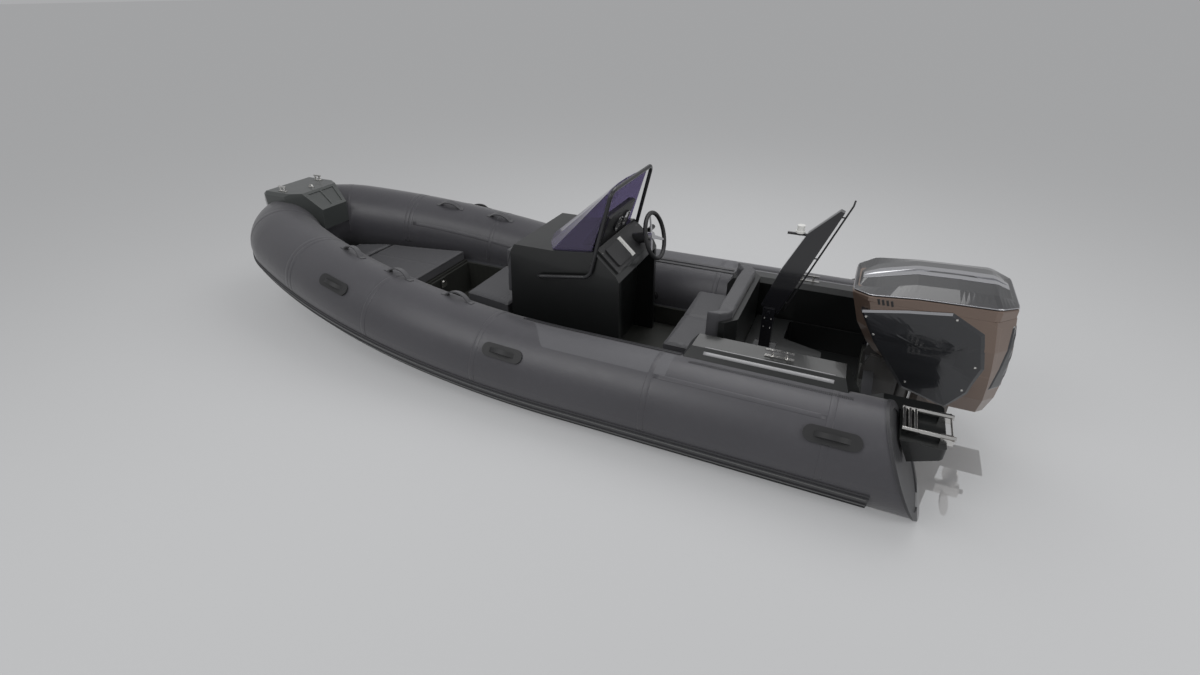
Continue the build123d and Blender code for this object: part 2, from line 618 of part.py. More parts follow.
def bow_step(core):
    """Moulded step over the bow tube: a flat top, and a slanted tread let into its aft face."""
    body = side_prism([
        (STEP_AFT_X + STEP_BORDER, STEP_SKIRT_Z), (STEP_AFT_X, STEP_PANEL_Z), (STEP_BROW_X, STEP_TOP_Z),
        (STEP_BRINK_X, STEP_TOP_Z), (STEP_FORE_X - STEP_BORDER, STEP_NOSE_Z), (STEP_FORE_X, STEP_SKIRT_Z),
    ], -STEP_HALF, STEP_HALF)
    sides = body.faces().filter_by(Axis.Y)
    body = chamfer([edge for face in sides for edge in face.edges().sort_by(Axis.Z)[-3:]], STEP_CHAMFER)
    body &= plan_prism(both_halves([
        (STEP_AFT_X - STEP_BORDER, STEP_AFT_HALF - STEP_BORDER), (STEP_AFT_X, STEP_AFT_HALF),
        (STEP_BROW_X, STEP_BROW_HALF), (STEP_WIDE_X, STEP_HALF), (STEP_BRINK_X, STEP_HALF),
        (STEP_FORE_X, STEP_FORE_HALF),
    ]), 0, STEP_TOP_Z)
    low, high = Vector(STEP_AFT_X, 0, STEP_PANEL_Z), Vector(STEP_BROW_X, 0, STEP_TOP_Z)
    slope = (high - low).normalized()
    tread = Plane((low + high) / 2, x_dir=(0, -1, 0), z_dir=Vector(-slope.Z, 0, slope.X))
    reach = (high - low).length / 2 - STEP_BORDER
    outline = both_halves([(-reach, STEP_AFT_HALF - STEP_BORDER), (reach, STEP_BROW_HALF - 2 * STEP_BORDER)])
    panel = make_face(Polyline(*[(y, along) for along, y in outline], close=True))
    panel -= Rectangle(2 * STEP_RIB_HALF, 4 * reach)
    return body - extrude(tread * panel, -STEP_RECESS) - core


def cleat(length, sink=0):
    """Mooring cleat: a bar on two legs and a foot plate, which may go on down by a sink."""
    shape = block(-length / 2, length / 2, -CLEAT_WIDTH / 2, CLEAT_WIDTH / 2, -sink, CLEAT_FOOT)
    for end in (-1, 1):
        leg = extrude(Circle(CLEAT_LEG / 2), CLEAT_HEIGHT)
        shape += Pos(end * length / 4, 0, 0) * leg
    bar = Pos(0, 0, CLEAT_HEIGHT) * extrude(SlotOverall(length, CLEAT_LEG), CLEAT_LEG / 2)
    return shape + bar


def bow_cleats():
    """Small mooring cleats on the bow step."""
    return pair(Pos(BOW_CLEAT_X, BOW_CLEAT_Y, STEP_TOP_Z + SEAT_GAP) * cleat(BOW_CLEAT_LENGTH))


def stern_cleats(coaming):
    """Mooring cleats on the stern coamings, their feet cut to the slope."""
    share = (COAMING_STRIPE_Y - STERN_CLEAT_Y) / (COAMING_STRIPE_Y - COAMING_INNER_Y - RIM_DROP)
    top = COAMING_STRIPE_Z + share * (COAMING_TOP_Z - COAMING_STRIPE_Z)
    return pair(Pos(STERN_CLEAT_X, STERN_CLEAT_Y, top) * cleat(CLEAT_LENGTH, CLEAT_FOOT) - coaming)


def bow_eye():
    """Mooring eye on the bow step's centreline."""
    ring = split(Rot(90, 0, 0) * Torus(BOW_EYE_R, BOW_EYE_WIRE / 2), Plane.XY, keep=Keep.TOP)
    foot = Pos(0, 0, CLEAT_FOOT / 2) * Box(3 * BOW_EYE_R, 2 * BOW_EYE_WIRE, CLEAT_FOOT)
    return Pos(BOW_EYE_X, 0, STEP_TOP_Z + SEAT_GAP) * (ring + foot)


def bow_locker(core):
    """Locker in the bow: floor, walls and the fixed fore deck."""
    outer = plan_prism(locker_outline(SEAT_GAP), LOCKER_FLOOR_Z - LOCKER_WALL + SEAT_GAP, LOCKER_TOP_Z)
    inside = plan_prism(
        locker_outline(LOCKER_WALL, LOCKER_AFT_X, LOCKER_SEAM_X - LOCKER_WALL), LOCKER_FLOOR_Z, LOCKER_TOP_Z + OVERRUN
    )
    return outer - inside - core


def locker_latch():
    """Latch on the locker's aft face."""
    wall = WELL_FORE_X - LINER_THICKNESS - SEAT_GAP
    plate = block(wall - LATCH_DEPTH / 2, wall, -LATCH_WIDTH / 2, LATCH_WIDTH / 2, BOW_DECK_Z - LATCH_HEIGHT, BOW_DECK_Z)
    knob = rod((wall - LATCH_DEPTH, 0, BOW_DECK_Z - LATCH_HEIGHT / 2), (wall, 0, BOW_DECK_Z - LATCH_HEIGHT / 2),
               LATCH_WIDTH / 4)
    return plate + knob


def bow_cushion(aft, fore, low):
    """One bow cushion between two stations."""
    outline = locker_outline(CUSHION_GAP, aft, fore)
    return plan_prism(outline, low, LOCKER_TOP_Z + LID_THICKNESS + BOW_CUSHION)


def bow_lid():
    """Locker lid under the aft bow cushion."""
    outline = locker_outline(SEAT_GAP, LOCKER_AFT_X, LOCKER_SEAM_X - CUSHION_GAP)
    return plan_prism(outline, LOCKER_TOP_Z + SEAT_GAP, LOCKER_TOP_Z + LID_THICKNESS)


def console_outline():
    """Side view of the console's body."""
    return [
        (CONSOLE_AFT_X, SOLE_Z + SEAT_GAP), (CONSOLE_AFT_X, CONSOLE_WAIST_Z - CONSOLE_WALL),
        (CONSOLE_AFT_X + CONSOLE_WALL / 2, CONSOLE_WAIST_Z), (CONSOLE_DASH_X, CONSOLE_DASH_Z),
        (SCREEN_BASE_SIDE_X, CONSOLE_TOP_Z), (CONSOLE_FORE_X - 2 * CONSOLE_WALL, CONSOLE_TOP_Z),
        (CONSOLE_FORE_X - CONSOLE_WALL, PAD_TOP_Z - CONSOLE_WALL), (CONSOLE_FORE_X, SEAT_BASE_TOP_Z),
        (CONSOLE_FORE_X + CONSOLE_WALL, SOLE_Z + SEAT_GAP),
    ]


def console():
    """Console moulding, open at the knees, with the glovebox let into its dash."""
    body = side_prism(console_outline(), -CONSOLE_HALF, CONSOLE_HALF)
    knee = [
        (CONSOLE_AFT_X - OVERRUN, SOLE_Z - OVERRUN), (CONSOLE_AFT_X - OVERRUN, CONSOLE_KNEE_Z),
        (CONSOLE_KNEE_X, CONSOLE_KNEE_Z), (CONSOLE_KNEE_X + CONSOLE_WALL, SOLE_Z - OVERRUN),
    ]
    return body - side_prism(knee, CONSOLE_WALL - CONSOLE_HALF, CONSOLE_HALF - CONSOLE_WALL) - glovebox_recess()


def console_seat():
    """Moulded seat base in front of the console."""
    aft = CONSOLE_FORE_X + CONSOLE_WALL + SEAT_GAP
    outline = both_halves([(aft, SEAT_AFT_HALF - CONSOLE_WALL), (SEAT_FORE_X - CONSOLE_WALL, SEAT_FORE_HALF - CONSOLE_WALL)])
    return plan_prism(outline, SOLE_Z + SEAT_GAP, SEAT_BASE_TOP_Z)


def console_seat_cushion():
    """Cushion on the seat in front of the console."""
    aft = CONSOLE_FORE_X + CONSOLE_WALL + SEAT_GAP
    outline = both_halves([(aft, SEAT_AFT_HALF), (SEAT_FORE_X, SEAT_FORE_HALF)])
    return plan_prism(outline, SEAT_BASE_TOP_Z + SEAT_GAP, SEAT_BASE_TOP_Z + SEAT_CUSHION)


def front_face_x(z):
    """Where the console's raked front face is at a height."""
    share = (z - SEAT_BASE_TOP_Z) / (PAD_TOP_Z - CONSOLE_WALL - SEAT_BASE_TOP_Z)
    return CONSOLE_FORE_X - share * CONSOLE_WALL


def console_front_pad():
    """Backrest pad on the console's front face."""
    low, top = PAD_LOW_Z, PAD_TOP_Z - CONSOLE_WALL
    seat = [(front_face_x(z) + SEAT_GAP, z) for z in (low, top)]
    face = [(x + PAD_THICKNESS, z) for x, z in reversed(seat)]
    return side_prism(seat + face, -PAD_HALF, PAD_HALF)


def screen_section(z, fore, side, aft, half, inset, tail):
    """Plan of the windscreen at one height: a bowed front between two sides."""
    corner = fore - (fore - side) * (1 - SCREEN_CORNER_SHARE)
    outline = both_halves([
        (aft - tail, half - inset), (side - inset, half - inset),
        (corner - inset, half * SCREEN_CORNER_SHARE - inset / 2), (fore - inset, half / 5),
    ])
    return make_face(Polyline(*[(x, y, z) for x, y in outline], close=True))


def screen_tent(inset, tail, low, high):
    """Solid under the windscreen, between its base and its top."""
    base = screen_section(
        CONSOLE_TOP_Z + SEAT_GAP - low, SCREEN_BASE_FORE_X, SCREEN_BASE_SIDE_X, SCREEN_BASE_AFT_X, SCREEN_HALF, inset, tail
    )
    top = screen_section(
        SCREEN_TOP_Z + high, SCREEN_TOP_FORE_X, SCREEN_TOP_SIDE_X, SCREEN_TOP_AFT_X, SCREEN_TOP_HALF, inset, tail
    )
    return loft([base, top], ruled=True)


def windscreen():
    """Tinted wrap-round windscreen, open at the back."""
    shell = screen_tent(0, 0, 0, 0) - screen_tent(SCREEN_THICKNESS, OVERRUN, SEAT_GAP, SEAT_GAP)
    body = side_prism(console_outline(), -CONSOLE_HALF - OVERRUN, CONSOLE_HALF + OVERRUN)
    return shell - body


def screen_rail():
    """Tubular grab rail round the windscreen, footed on the console's sides."""
    foot_y = CONSOLE_HALF + SEAT_GAP
    half = [
        (RAIL_FORE_X + RAIL_FOOT_R, foot_y, RAIL_FORE_Z - RAIL_R),
        (RAIL_FORE_X, RAIL_HALF, RAIL_FORE_Z),
        (RAIL_KNEE_X, RAIL_HALF, RAIL_KNEE_Z),
        (RAIL_TOP_X, RAIL_TOP_HALF, RAIL_TOP_Z),
    ]
    points = half + [(x, -y, z) for x, y, z in reversed(half)]
    bends = [RAIL_FOOT_BEND, RAIL_KNEE_BEND, RAIL_TOP_BEND]
    rail = bent_rod(points, bends + bends[::-1], RAIL_R)
    return rail - block(0, CONSOLE_FORE_X, -foot_y, foot_y, 0, CONSOLE_TOP_Z)


def dash_point(along, out=0):
    """A point (x, z) on the slanted dash, up from its lower edge and out from its face."""
    low = Vector(CONSOLE_AFT_X + CONSOLE_WALL / 2, 0, CONSOLE_WAIST_Z)
    high = Vector(CONSOLE_DASH_X, 0, CONSOLE_DASH_Z)
    up = (high - low).normalized()
    face = Vector(-up.Z, 0, up.X)
    point = low + up * along + face * out
    return point.X, point.Z


def dash_plane(along, y, out=0):
    """A plane on the dash: X to starboard, Y up the slope, Z out of the face."""
    x, z = dash_point(along, out)
    x1, z1 = dash_point(along + 1, out)
    up = Vector(x1 - x, 0, z1 - z)
    return Plane((x, y, z), x_dir=(0, -1, 0), z_dir=Vector(-up.Z, 0, up.X))


DASH_LENGTH = sqrt((CONSOLE_DASH_X - CONSOLE_AFT_X - CONSOLE_WALL / 2) ** 2 + (CONSOLE_DASH_Z - CONSOLE_WAIST_Z) ** 2)


def dash_panel():
    """Slanted dash board with the instrument pod that rises behind the screen."""
    board = [dash_point(DASH_THICKNESS, SEAT_GAP), dash_point(DASH_LENGTH - DASH_THICKNESS, SEAT_GAP),
             dash_point(DASH_LENGTH - DASH_THICKNESS, DASH_THICKNESS), dash_point(DASH_THICKNESS, DASH_THICKNESS)]
    return side_prism(board, -DASH_HALF, DASH_HALF) - glovebox_recess()


def instrument_pod():
    """Instrument pod on top of the console, with a gauge in its aft face."""
    outline = [
        (CONSOLE_DASH_X + DASH_THICKNESS, CONSOLE_TOP_Z), (CONSOLE_DASH_X + DASH_THICKNESS, CONSOLE_DASH_Z),
        (POD_LIP_X + DASH_THICKNESS, POD_TOP_Z - DASH_THICKNESS), (POD_TOP_X, POD_TOP_Z),
        (POD_TOP_X + 3 * DASH_THICKNESS, POD_TOP_Z), (POD_FORE_X, CONSOLE_DASH_Z), (POD_FORE_X, CONSOLE_TOP_Z),
    ]
    seat = Pos(0, 0, SEAT_GAP) * side_prism(console_outline(), -CONSOLE_HALF, CONSOLE_HALF)
    return side_prism(outline, -POD_HALF, POD_HALF) - seat


def gauges():
    """Round gauges set on the pod's aft face, one on each side of the column."""
    low = Vector(CONSOLE_DASH_X + DASH_THICKNESS, 0, CONSOLE_DASH_Z)
    high = Vector(POD_LIP_X + DASH_THICKNESS, 0, POD_TOP_Z - DASH_THICKNESS)
    middle = (low + high) / 2
    slope = (high - low).normalized()
    out = Vector(-slope.Z, 0, slope.X)
    shapes = []
    for y in (WHEEL_Y + GAUGE_R, WHEEL_Y + 3 * GAUGE_R + GAUGE_DEPTH):
        plane = Plane(middle + Vector(0, y, 0) + out * SEAT_GAP, z_dir=out)
        face = extrude(plane * Circle(GAUGE_R), GAUGE_DEPTH)
        shapes.append(face - extrude(plane.offset(GAUGE_DEPTH - GAUGE_BEZEL) * Circle(GAUGE_R - GAUGE_BEZEL), OVERRUN))
    return shapes


def switch_panel():
    """Upright white panel with a column of rocker switches."""
    plane = dash_plane(DASH_LENGTH / 2, SWITCH_Y, DASH_THICKNESS + SEAT_GAP)
    panel = extrude(plane * Rectangle(SWITCH_WIDTH, SWITCH_HEIGHT), SWITCH_THICKNESS)
    pitch = SWITCH_HEIGHT / (SWITCH_COUNT + 1)
    for index in range(SWITCH_COUNT):
        place = Pos(0, (index - (SWITCH_COUNT - 1) / 2) * pitch, SWITCH_THICKNESS)
        panel += plane * place * Box(ROCKER_WIDTH, ROCKER_LENGTH, ROCKER_RISE)
    return panel


def glovebox_recess():
    """Space of the glovebox behind its door."""
    plane = dash_plane(DASH_LENGTH / 2, GLOVE_Y, DASH_THICKNESS)
    mouth = Rectangle(GLOVE_WIDTH - 2 * GLOVE_RIM, GLOVE_HEIGHT - 2 * GLOVE_RIM)
    return extrude(plane * mouth, -GLOVE_DEPTH)


def glovebox_door():
    """Glovebox door on the port half of the dash, hinged on its lower edge."""
    plane = dash_plane(DASH_LENGTH / 2, GLOVE_Y, DASH_THICKNESS + SEAT_GAP)
    return extrude(plane * RectangleRounded(GLOVE_WIDTH, GLOVE_HEIGHT, GLOVE_THICKNESS), GLOVE_THICKNESS)


def throttle_control():
    """Side-mounted throttle: a housing on the console's starboard side and its lever."""
    wall = -CONSOLE_HALF - SEAT_GAP
    body = block(THROTTLE_X - THROTTLE_BASE / 2, THROTTLE_X + THROTTLE_BASE / 2, wall - THROTTLE_DEPTH, wall,
                 THROTTLE_Z - THROTTLE_BASE, THROTTLE_Z)
    pivot = (THROTTLE_X, wall - THROTTLE_DEPTH - THROTTLE_LEVER_R, THROTTLE_Z - THROTTLE_BASE / 2)
    tip = (THROTTLE_X - THROTTLE_LEVER_R, THROTTLE_Y - THROTTLE_LEVER_R, THROTTLE_Z - THROTTLE_BASE / 2 + THROTTLE_LEVER)
    body += rod((pivot[0], wall - THROTTLE_DEPTH / 2, pivot[2]), (pivot[0], tip[1], pivot[2]), 2 * THROTTLE_LEVER_R)
    body += rod((pivot[0], tip[1], pivot[2]), tip, THROTTLE_LEVER_R)
    grip = (tip[0], tip[1] - THROTTLE_GRIP / 2, tip[2])
    return body + rod(grip, (tip[0], tip[1] + THROTTLE_GRIP / 2, tip[2]), THROTTLE_GRIP_R)


def wheel_plane(out=0):
    """The steering wheel's plane: Z points along the column to the helm."""
    lean = radians(WHEEL_TILT)
    axis = Vector(-cos(lean), 0, sin(lean))
    return Plane(Vector(WHEEL_X, WHEEL_Y, WHEEL_Z) + axis * out, x_dir=(0, 1, 0), z_dir=axis)


def wheel_rim():
    """Padded steering wheel rim."""
    return wheel_plane() * Torus(WHEEL_R, WHEEL_RIM_R)


def wheel_spokes():
    """Three-spoke wheel centre with its hub."""
    hub = wheel_plane(-WHEEL_DISH - HUB_LENGTH) * extrude(Circle(HUB_R), HUB_LENGTH + WHEEL_DISH / 2)
    hub += wheel_plane(-WHEEL_DISH - HUB_LENGTH) * extrude(Circle(COLUMN_SHAFT_R), -HUB_LENGTH)
    reach = WHEEL_R - WHEEL_RIM_R - SEAT_GAP
    for index in range(SPOKE_COUNT):
        angle = radians(90 + index * 360 / SPOKE_COUNT + 180)
        side = Vector(-sin(angle), cos(angle), 0) * (SPOKE_WIDTH / 2)
        out = Vector(cos(angle), sin(angle), 0)
        base = out * (HUB_R / 2) + Vector(0, 0, -WHEEL_DISH)
        tip = out * reach
        low = make_face(Polyline(base - side, base + side, tip + side / 2, tip - side / 2, close=True))
        hub += wheel_plane() * extrude(low, SPOKE_THICKNESS / 2, dir=(0, 0, 1), both=True)
    return hub


def steering_column():
    """Helm housing between the dash and the wheel's hub."""
    start = wheel_plane(-WHEEL_DISH - HUB_LENGTH - SWING_GAP)
    body = extrude(start * Circle(COLUMN_R), -DASH_LENGTH)
    body -= extrude(start * Circle(COLUMN_SHAFT_R + PIN_GAP), -2 * HUB_LENGTH)
    reach = 2 * DASH_LENGTH
    board = [dash_point(-reach, DASH_THICKNESS + SEAT_GAP), dash_point(reach, DASH_THICKNESS + SEAT_GAP),
             dash_point(reach, -reach), dash_point(-reach, -reach)]
    return body - side_prism(board, -2 * CONSOLE_HALF, 2 * CONSOLE_HALF)


def bench_base():
    """Locker under the helm bench, open on top."""
    outer = block(BENCH_AFT_X, BENCH_FORE_X - BENCH_TOE, -BENCH_HALF + LINER_THICKNESS, BENCH_HALF - LINER_THICKNESS,
                  SOLE_Z + SEAT_GAP, BENCH_BASE_TOP_Z)
    inner = block(BENCH_CUSHION_AFT_X + BENCH_WALL, BENCH_FORE_X - BENCH_TOE - BENCH_WALL,
                  -BENCH_HALF + LINER_THICKNESS + BENCH_WALL, BENCH_HALF - LINER_THICKNESS - BENCH_WALL,
                  SOLE_Z + BENCH_WALL, BENCH_BASE_TOP_Z + OVERRUN)
    return outer - inner


def bench_lid():
    """Board under the bench cushion."""
    return block(BENCH_CUSHION_AFT_X, BENCH_FORE_X - BENCH_TOE / 3, -BENCH_HALF, BENCH_HALF,
                 BENCH_BASE_TOP_Z + SEAT_GAP, BENCH_BASE_TOP_Z + BENCH_LID)


def bench_cushion():
    """Bench seat cushion."""
    low = BENCH_BASE_TOP_Z + BENCH_LID + SEAT_GAP
    body = block(BENCH_CUSHION_AFT_X, BENCH_FORE_X, -BENCH_HALF, BENCH_HALF, low, low + BENCH_CUSHION)
    return softened(body, Axis.Y, BENCH_CUSHION / 4)


def backrest_layer(start, depth, low, top):
    """A backrest layer, its wings turned forward."""
    inner = BACKREST_HALF - BACKREST_WING
    aft = [(start + BACKREST_WING_FORE, BACKREST_HALF), (start, inner)]
    fore = [(start + depth, inner), (start + depth + BACKREST_WING_FORE, BACKREST_HALF)]
    outline = aft + [(x, -y) for x, y in reversed(aft)]
    outline += [(x, -y) for x, y in reversed(fore)] + fore
    return plan_prism(outline, low, top)


def bench_backrest():
    """Curved backrest pad."""
    return backrest_layer(BACKREST_X + SEAT_GAP, BACKREST_THICKNESS, BACKREST_LOW_Z, BACKREST_TOP_Z)


def backrest_shell():
    """Moulded shell that carries the backrest pad."""
    return backrest_layer(BACKREST_X - SHELL_THICKNESS, SHELL_THICKNESS, BENCH_BASE_TOP_Z + SEAT_GAP, SHELL_TOP_Z)


def stern_moulding(core):
    """Port stern coaming: a raised side moulding seated on the tube."""
    section = [
        (COAMING_OUTER_Y, COAMING_OUTER_Z), (COAMING_STRIPE_Y, COAMING_STRIPE_Z), (COAMING_INNER_Y + RIM_DROP, COAMING_TOP_Z),
        (COAMING_INNER_Y, COAMING_TOP_Z - RIM_DROP), (COAMING_INNER_Y, TUBE_Z), (COAMING_OUTER_Y, TUBE_Z),
    ]
    face = make_face(Polyline(*[(COAMING_AFT_X, y, z) for y, z in section], close=True))
    body = extrude(face, COAMING_FORE_X - COAMING_AFT_X, dir=(1, 0, 0))
    outline = [
        (COAMING_AFT_X, TUBE_Z - OVERRUN), (COAMING_AFT_X, COAMING_HEEL_Z), (COAMING_HEEL_X, COAMING_TOP_Z),
        (COAMING_SHOULDER_X, COAMING_TOP_Z + OVERRUN), (COAMING_FORE_X, COAMING_OUTER_Z),
        (COAMING_FORE_X, TUBE_Z - OVERRUN),
    ]
    return (body & side_prism(outline, 0, 2 * TUBE_Y)) - core


def splash_outline():
    """Plan of the splash well: it runs forward on each side of a tongue that carries the mast."""
    return [
        (-OVERRUN, SPLASH_HALF), (SPLASH_FORE_X, SPLASH_HALF), (SPLASH_FORE_X, SPLASH_TONGUE_FORE_HALF),
        (SPLASH_TONGUE_X, SPLASH_TONGUE_AFT_HALF), (SPLASH_TONGUE_X, -SPLASH_TONGUE_AFT_HALF),
        (SPLASH_FORE_X, -SPLASH_TONGUE_FORE_HALF), (SPLASH_FORE_X, -SPLASH_HALF), (-OVERRUN, -SPLASH_HALF),
    ]


def aft_deck(core):
    """Deck between transom and bench, with the splash well let into it."""
    body = block(TRANSOM_THICKNESS + LINER_THICKNESS + SEAT_GAP, BACKREST_X - SHELL_THICKNESS - SEAT_GAP,
                 LINER_THICKNESS - WELL_HALF + SEAT_GAP, WELL_HALF - LINER_THICKNESS - SEAT_GAP,
                 SOLE_Z + SEAT_GAP, AFT_DECK_TOP_Z)
    well = softened(plan_prism(splash_outline(), SPLASH_FLOOR_Z, AFT_DECK_TOP_Z + OVERRUN), Axis.Z, SPLASH_FILLET)
    return body - well - core


def swim_platform():
    """Port swim platform behind the transom and the tube's end."""
    outline = [
        (-SEAT_GAP, PLATFORM_ROOT_Z), (-SEAT_GAP, PLATFORM_TOP_Z - PLATFORM_LIP / 2), (-PLATFORM_LIP, PLATFORM_TOP_Z),
        (PLATFORM_AFT_X, PLATFORM_TOP_Z), (PLATFORM_AFT_X, PLATFORM_TOP_Z - PLATFORM_LIP),
    ]
    body = side_prism(outline, PLATFORM_INNER_Y, PLATFORM_OUTER_Y)
    corner = body.edges().filter_by(Axis.Z).sort_by(Axis.X)[:2]
    return fillet(corner, PLATFORM_FILLET) - tube_core(CAP_LIP + SEAT_GAP)


def ladder_bracket():
    """Lugs and hinge pin on the port platform's aft edge, which carry the ladder."""
    lugs = []
    for y in (LADDER_INNER_Y, LADDER_OUTER_Y):
        for side in (-1, 1):
            middle = y + side * (LADDER_RAIL_R + LADDER_LUG / 2 + PIN_GAP)
            lugs.append(block(LADDER_AFT_X - LADDER_PIN_R, PLATFORM_AFT_X + LADDER_LUG_REACH, middle - LADDER_LUG / 2,
                              middle + LADDER_LUG / 2, PLATFORM_TOP_Z + SEAT_GAP, LADDER_Z + LADDER_PIN_R))
    pin_ends = [(LADDER_AFT_X, y + end, LADDER_Z) for y, end in (
        (LADDER_INNER_Y, -LADDER_RAIL_R - LADDER_LUG - LADDER_PIN_R),
        (LADDER_OUTER_Y, LADDER_RAIL_R + LADDER_LUG + LADDER_PIN_R))]
    body = rod(pin_ends[0], pin_ends[1], LADDER_PIN_R)
    for lug in lugs:
        body += lug
    return body


def ladder():
    """Telescopic boarding ladder, its nested sections drawn in."""
    frame = Part()
    for y in (LADDER_INNER_Y, LADDER_OUTER_Y):
        frame += rod((LADDER_AFT_X - LADDER_RAIL_R, y, LADDER_Z), (LADDER_FORE_X - LADDER_SECTIONS * LADDER_NEST_STEP, y, LADDER_Z),
                     LADDER_RAIL_R)
        frame += rod((LADDER_AFT_X, y, LADDER_Z), (LADDER_FORE_X, y, LADDER_Z), LADDER_NEST_R)
    for index in range(LADDER_SECTIONS):
        x = LADDER_FORE_X - LADDER_RUNG_R - index * LADDER_NEST_STEP
        frame += rod((x, LADDER_INNER_Y, LADDER_Z), (x, LADDER_OUTER_Y, LADDER_Z), LADDER_RUNG_R)
    bore = rod((LADDER_AFT_X, 0, LADDER_Z), (LADDER_AFT_X, TUBE_Y, LADDER_Z), LADDER_PIN_R + PIN_GAP)
    return frame - bore


def mast_bracket():
    """Mast foot: a post with two cheeks and the fold pin."""
    post = block(MAST_X - MAST_POST_HALF_X, MAST_X + MAST_POST_HALF_X, -MAST_POST_HALF_Y, MAST_POST_HALF_Y,
                 AFT_DECK_TOP_Z + SEAT_GAP, MAST_Z - MAST_CHEEK_TOP)
    flange = block(MAST_X - 2 * MAST_POST_HALF_X, MAST_X + 2 * MAST_POST_HALF_X, -2 * MAST_POST_HALF_Y,
                   2 * MAST_POST_HALF_Y, AFT_DECK_TOP_Z + SEAT_GAP, AFT_DECK_TOP_Z + MAST_CHEEK)
    body = post + flange
    inner = MAST_THICKNESS / 2 + PIN_GAP
    for side in (-1, 1):
        cheek = block(MAST_X - MAST_POST_HALF_X, MAST_X + MAST_POST_HALF_X, side * inner, side * (inner + MAST_CHEEK),
                      MAST_Z - 2 * MAST_CHEEK_TOP, MAST_Z + MAST_CHEEK)
        body += cheek
    return body + rod((MAST_X, -inner - 2 * MAST_CHEEK, MAST_Z - MAST_POST_HALF_X / 2),
                      (MAST_X, inner + 2 * MAST_CHEEK, MAST_Z - MAST_POST_HALF_X / 2), MAST_PIN_R)


def mast_line(along, across=0):
    """A point (x, z) up the raked mast and forward across it."""
    lean = radians(MAST_RAKE)
    x = MAST_X - along * sin(lean) + across * cos(lean)
    z = MAST_Z + along * cos(lean) + across * sin(lean)
    return x, z


def mast():
    """Raked blade mast with an aft spine, pivoting on its foot."""
    low, top = MAST_BLADE_LOW / 2, MAST_BLADE_TOP / 2
    outline = [
        mast_line(0, -low), mast_line(MAST_LENGTH, -low), mast_line(MAST_LENGTH + MAST_TIP, -low),
        mast_line(MAST_LENGTH + MAST_TIP, MAST_TIP_WIDTH - low), mast_line(MAST_LENGTH, top),
        mast_line(MAST_LENGTH / 2, top + MAST_SPINE), mast_line(0, low),
    ]
    blade = side_prism(outline, -MAST_THICKNESS / 2, MAST_THICKNESS / 2)
    pivot_z = MAST_Z - MAST_POST_HALF_X / 2
    knuckle = rod((MAST_X, -MAST_THICKNESS / 2, pivot_z), (MAST_X, MAST_THICKNESS / 2, pivot_z), MAST_POST_HALF_X)
    bore = rod((MAST_X, -MAST_THICKNESS, pivot_z), (MAST_X, MAST_THICKNESS, pivot_z), MAST_PIN_R + PIN_GAP)
    return blade + knuckle - bore


def mast_light():
    """White all-round light on a short bar at the masthead."""
    bar = rod((MAST_BAR_X, 0, MAST_BAR_Z), (MAST_BAR_X - MAST_BAR_LENGTH, 0, MAST_BAR_Z), MAST_BAR_R)
    base = Pos(MAST_BAR_X - MAST_BAR_LENGTH / 2, 0, MAST_BAR_Z) * extrude(Circle(LIGHT_BASE_R), LIGHT_BASE + MAST_BAR_R)
    lamp = Pos(MAST_BAR_X - MAST_BAR_LENGTH / 2, 0, MAST_BAR_Z) * extrude(Circle(LIGHT_R), LIGHT_BASE + LIGHT_HEIGHT)
    return bar - mast() + base + lamp


def clamp_bracket():
    """Transom brackets that hook over the engine board and carry the tilt tube."""
    face = TRANSOM_THICKNESS + SEAT_GAP
    hook_z = TRANSOM_TOP_Z - 4 * CLAMP_FORE
    outline = [
        (face + CLAMP_FORE, hook_z), (face + CLAMP_FORE, TRANSOM_TOP_Z + CLAMP_FORE / 2),
        (face - CLAMP_FORE, CLAMP_TOP_Z), (TILT_X - 2 * TILT_TUBE_R, CLAMP_TOP_Z), (CLAMP_AFT_X, TRANSOM_TOP_Z),
        (CLAMP_AFT_X + CLAMP_FORE, CLAMP_LOW_Z), (-SEAT_GAP, CLAMP_LOW_Z), (-SEAT_GAP, TRANSOM_TOP_Z + SEAT_GAP),
        (face, TRANSOM_TOP_Z + SEAT_GAP), (face, hook_z),
    ]
    cheek = side_prism(outline, CLAMP_INNER_Y, CLAMP_OUTER_Y)
    return cheek + mirrored(cheek) + rod((TILT_X, -TILT_TUBE_HALF, TILT_Z), (TILT_X, TILT_TUBE_HALF, TILT_Z), TILT_TUBE_R)


def swivel_bracket():
    """Swivel bracket: hangs on the tilt tube and carries the steering pin."""
    half = SWIVEL_HALF
    head = block(STEER_X, TILT_X + 2 * TILT_TUBE_R, -half, half, TILT_Z - 2 * TILT_TUBE_R, SWIVEL_TOP_Z)
    boss = Pos(STEER_X, 0, SWIVEL_LOW_Z) * extrude(Circle(SWIVEL_BOSS_R), SWIVEL_TOP_Z - SWIVEL_LOW_Z)
    web = side_prism([
        (STEER_X, SWIVEL_LOW_Z), (STEER_X, TILT_Z), (CLAMP_AFT_X + SWIVEL_BOSS_R, TILT_Z),
        (CLAMP_AFT_X + SWIVEL_BOSS_R, TILT_Z - 2 * SWIVEL_BOSS_R), (CLAMP_AFT_X, SWIVEL_LOW_Z),
    ], -half / 2, half / 2)
    tilt_bore = rod((TILT_X, -CLAMP_OUTER_Y, TILT_Z), (TILT_X, CLAMP_OUTER_Y, TILT_Z), TILT_TUBE_R + PIN_GAP)
    pin_bore = rod((STEER_X, 0, SWIVEL_LOW_Z - OVERRUN), (STEER_X, 0, SWIVEL_TOP_Z + OVERRUN), KINGPIN_R + PIN_GAP)
    return head + boss + web - tilt_bore - pin_bore


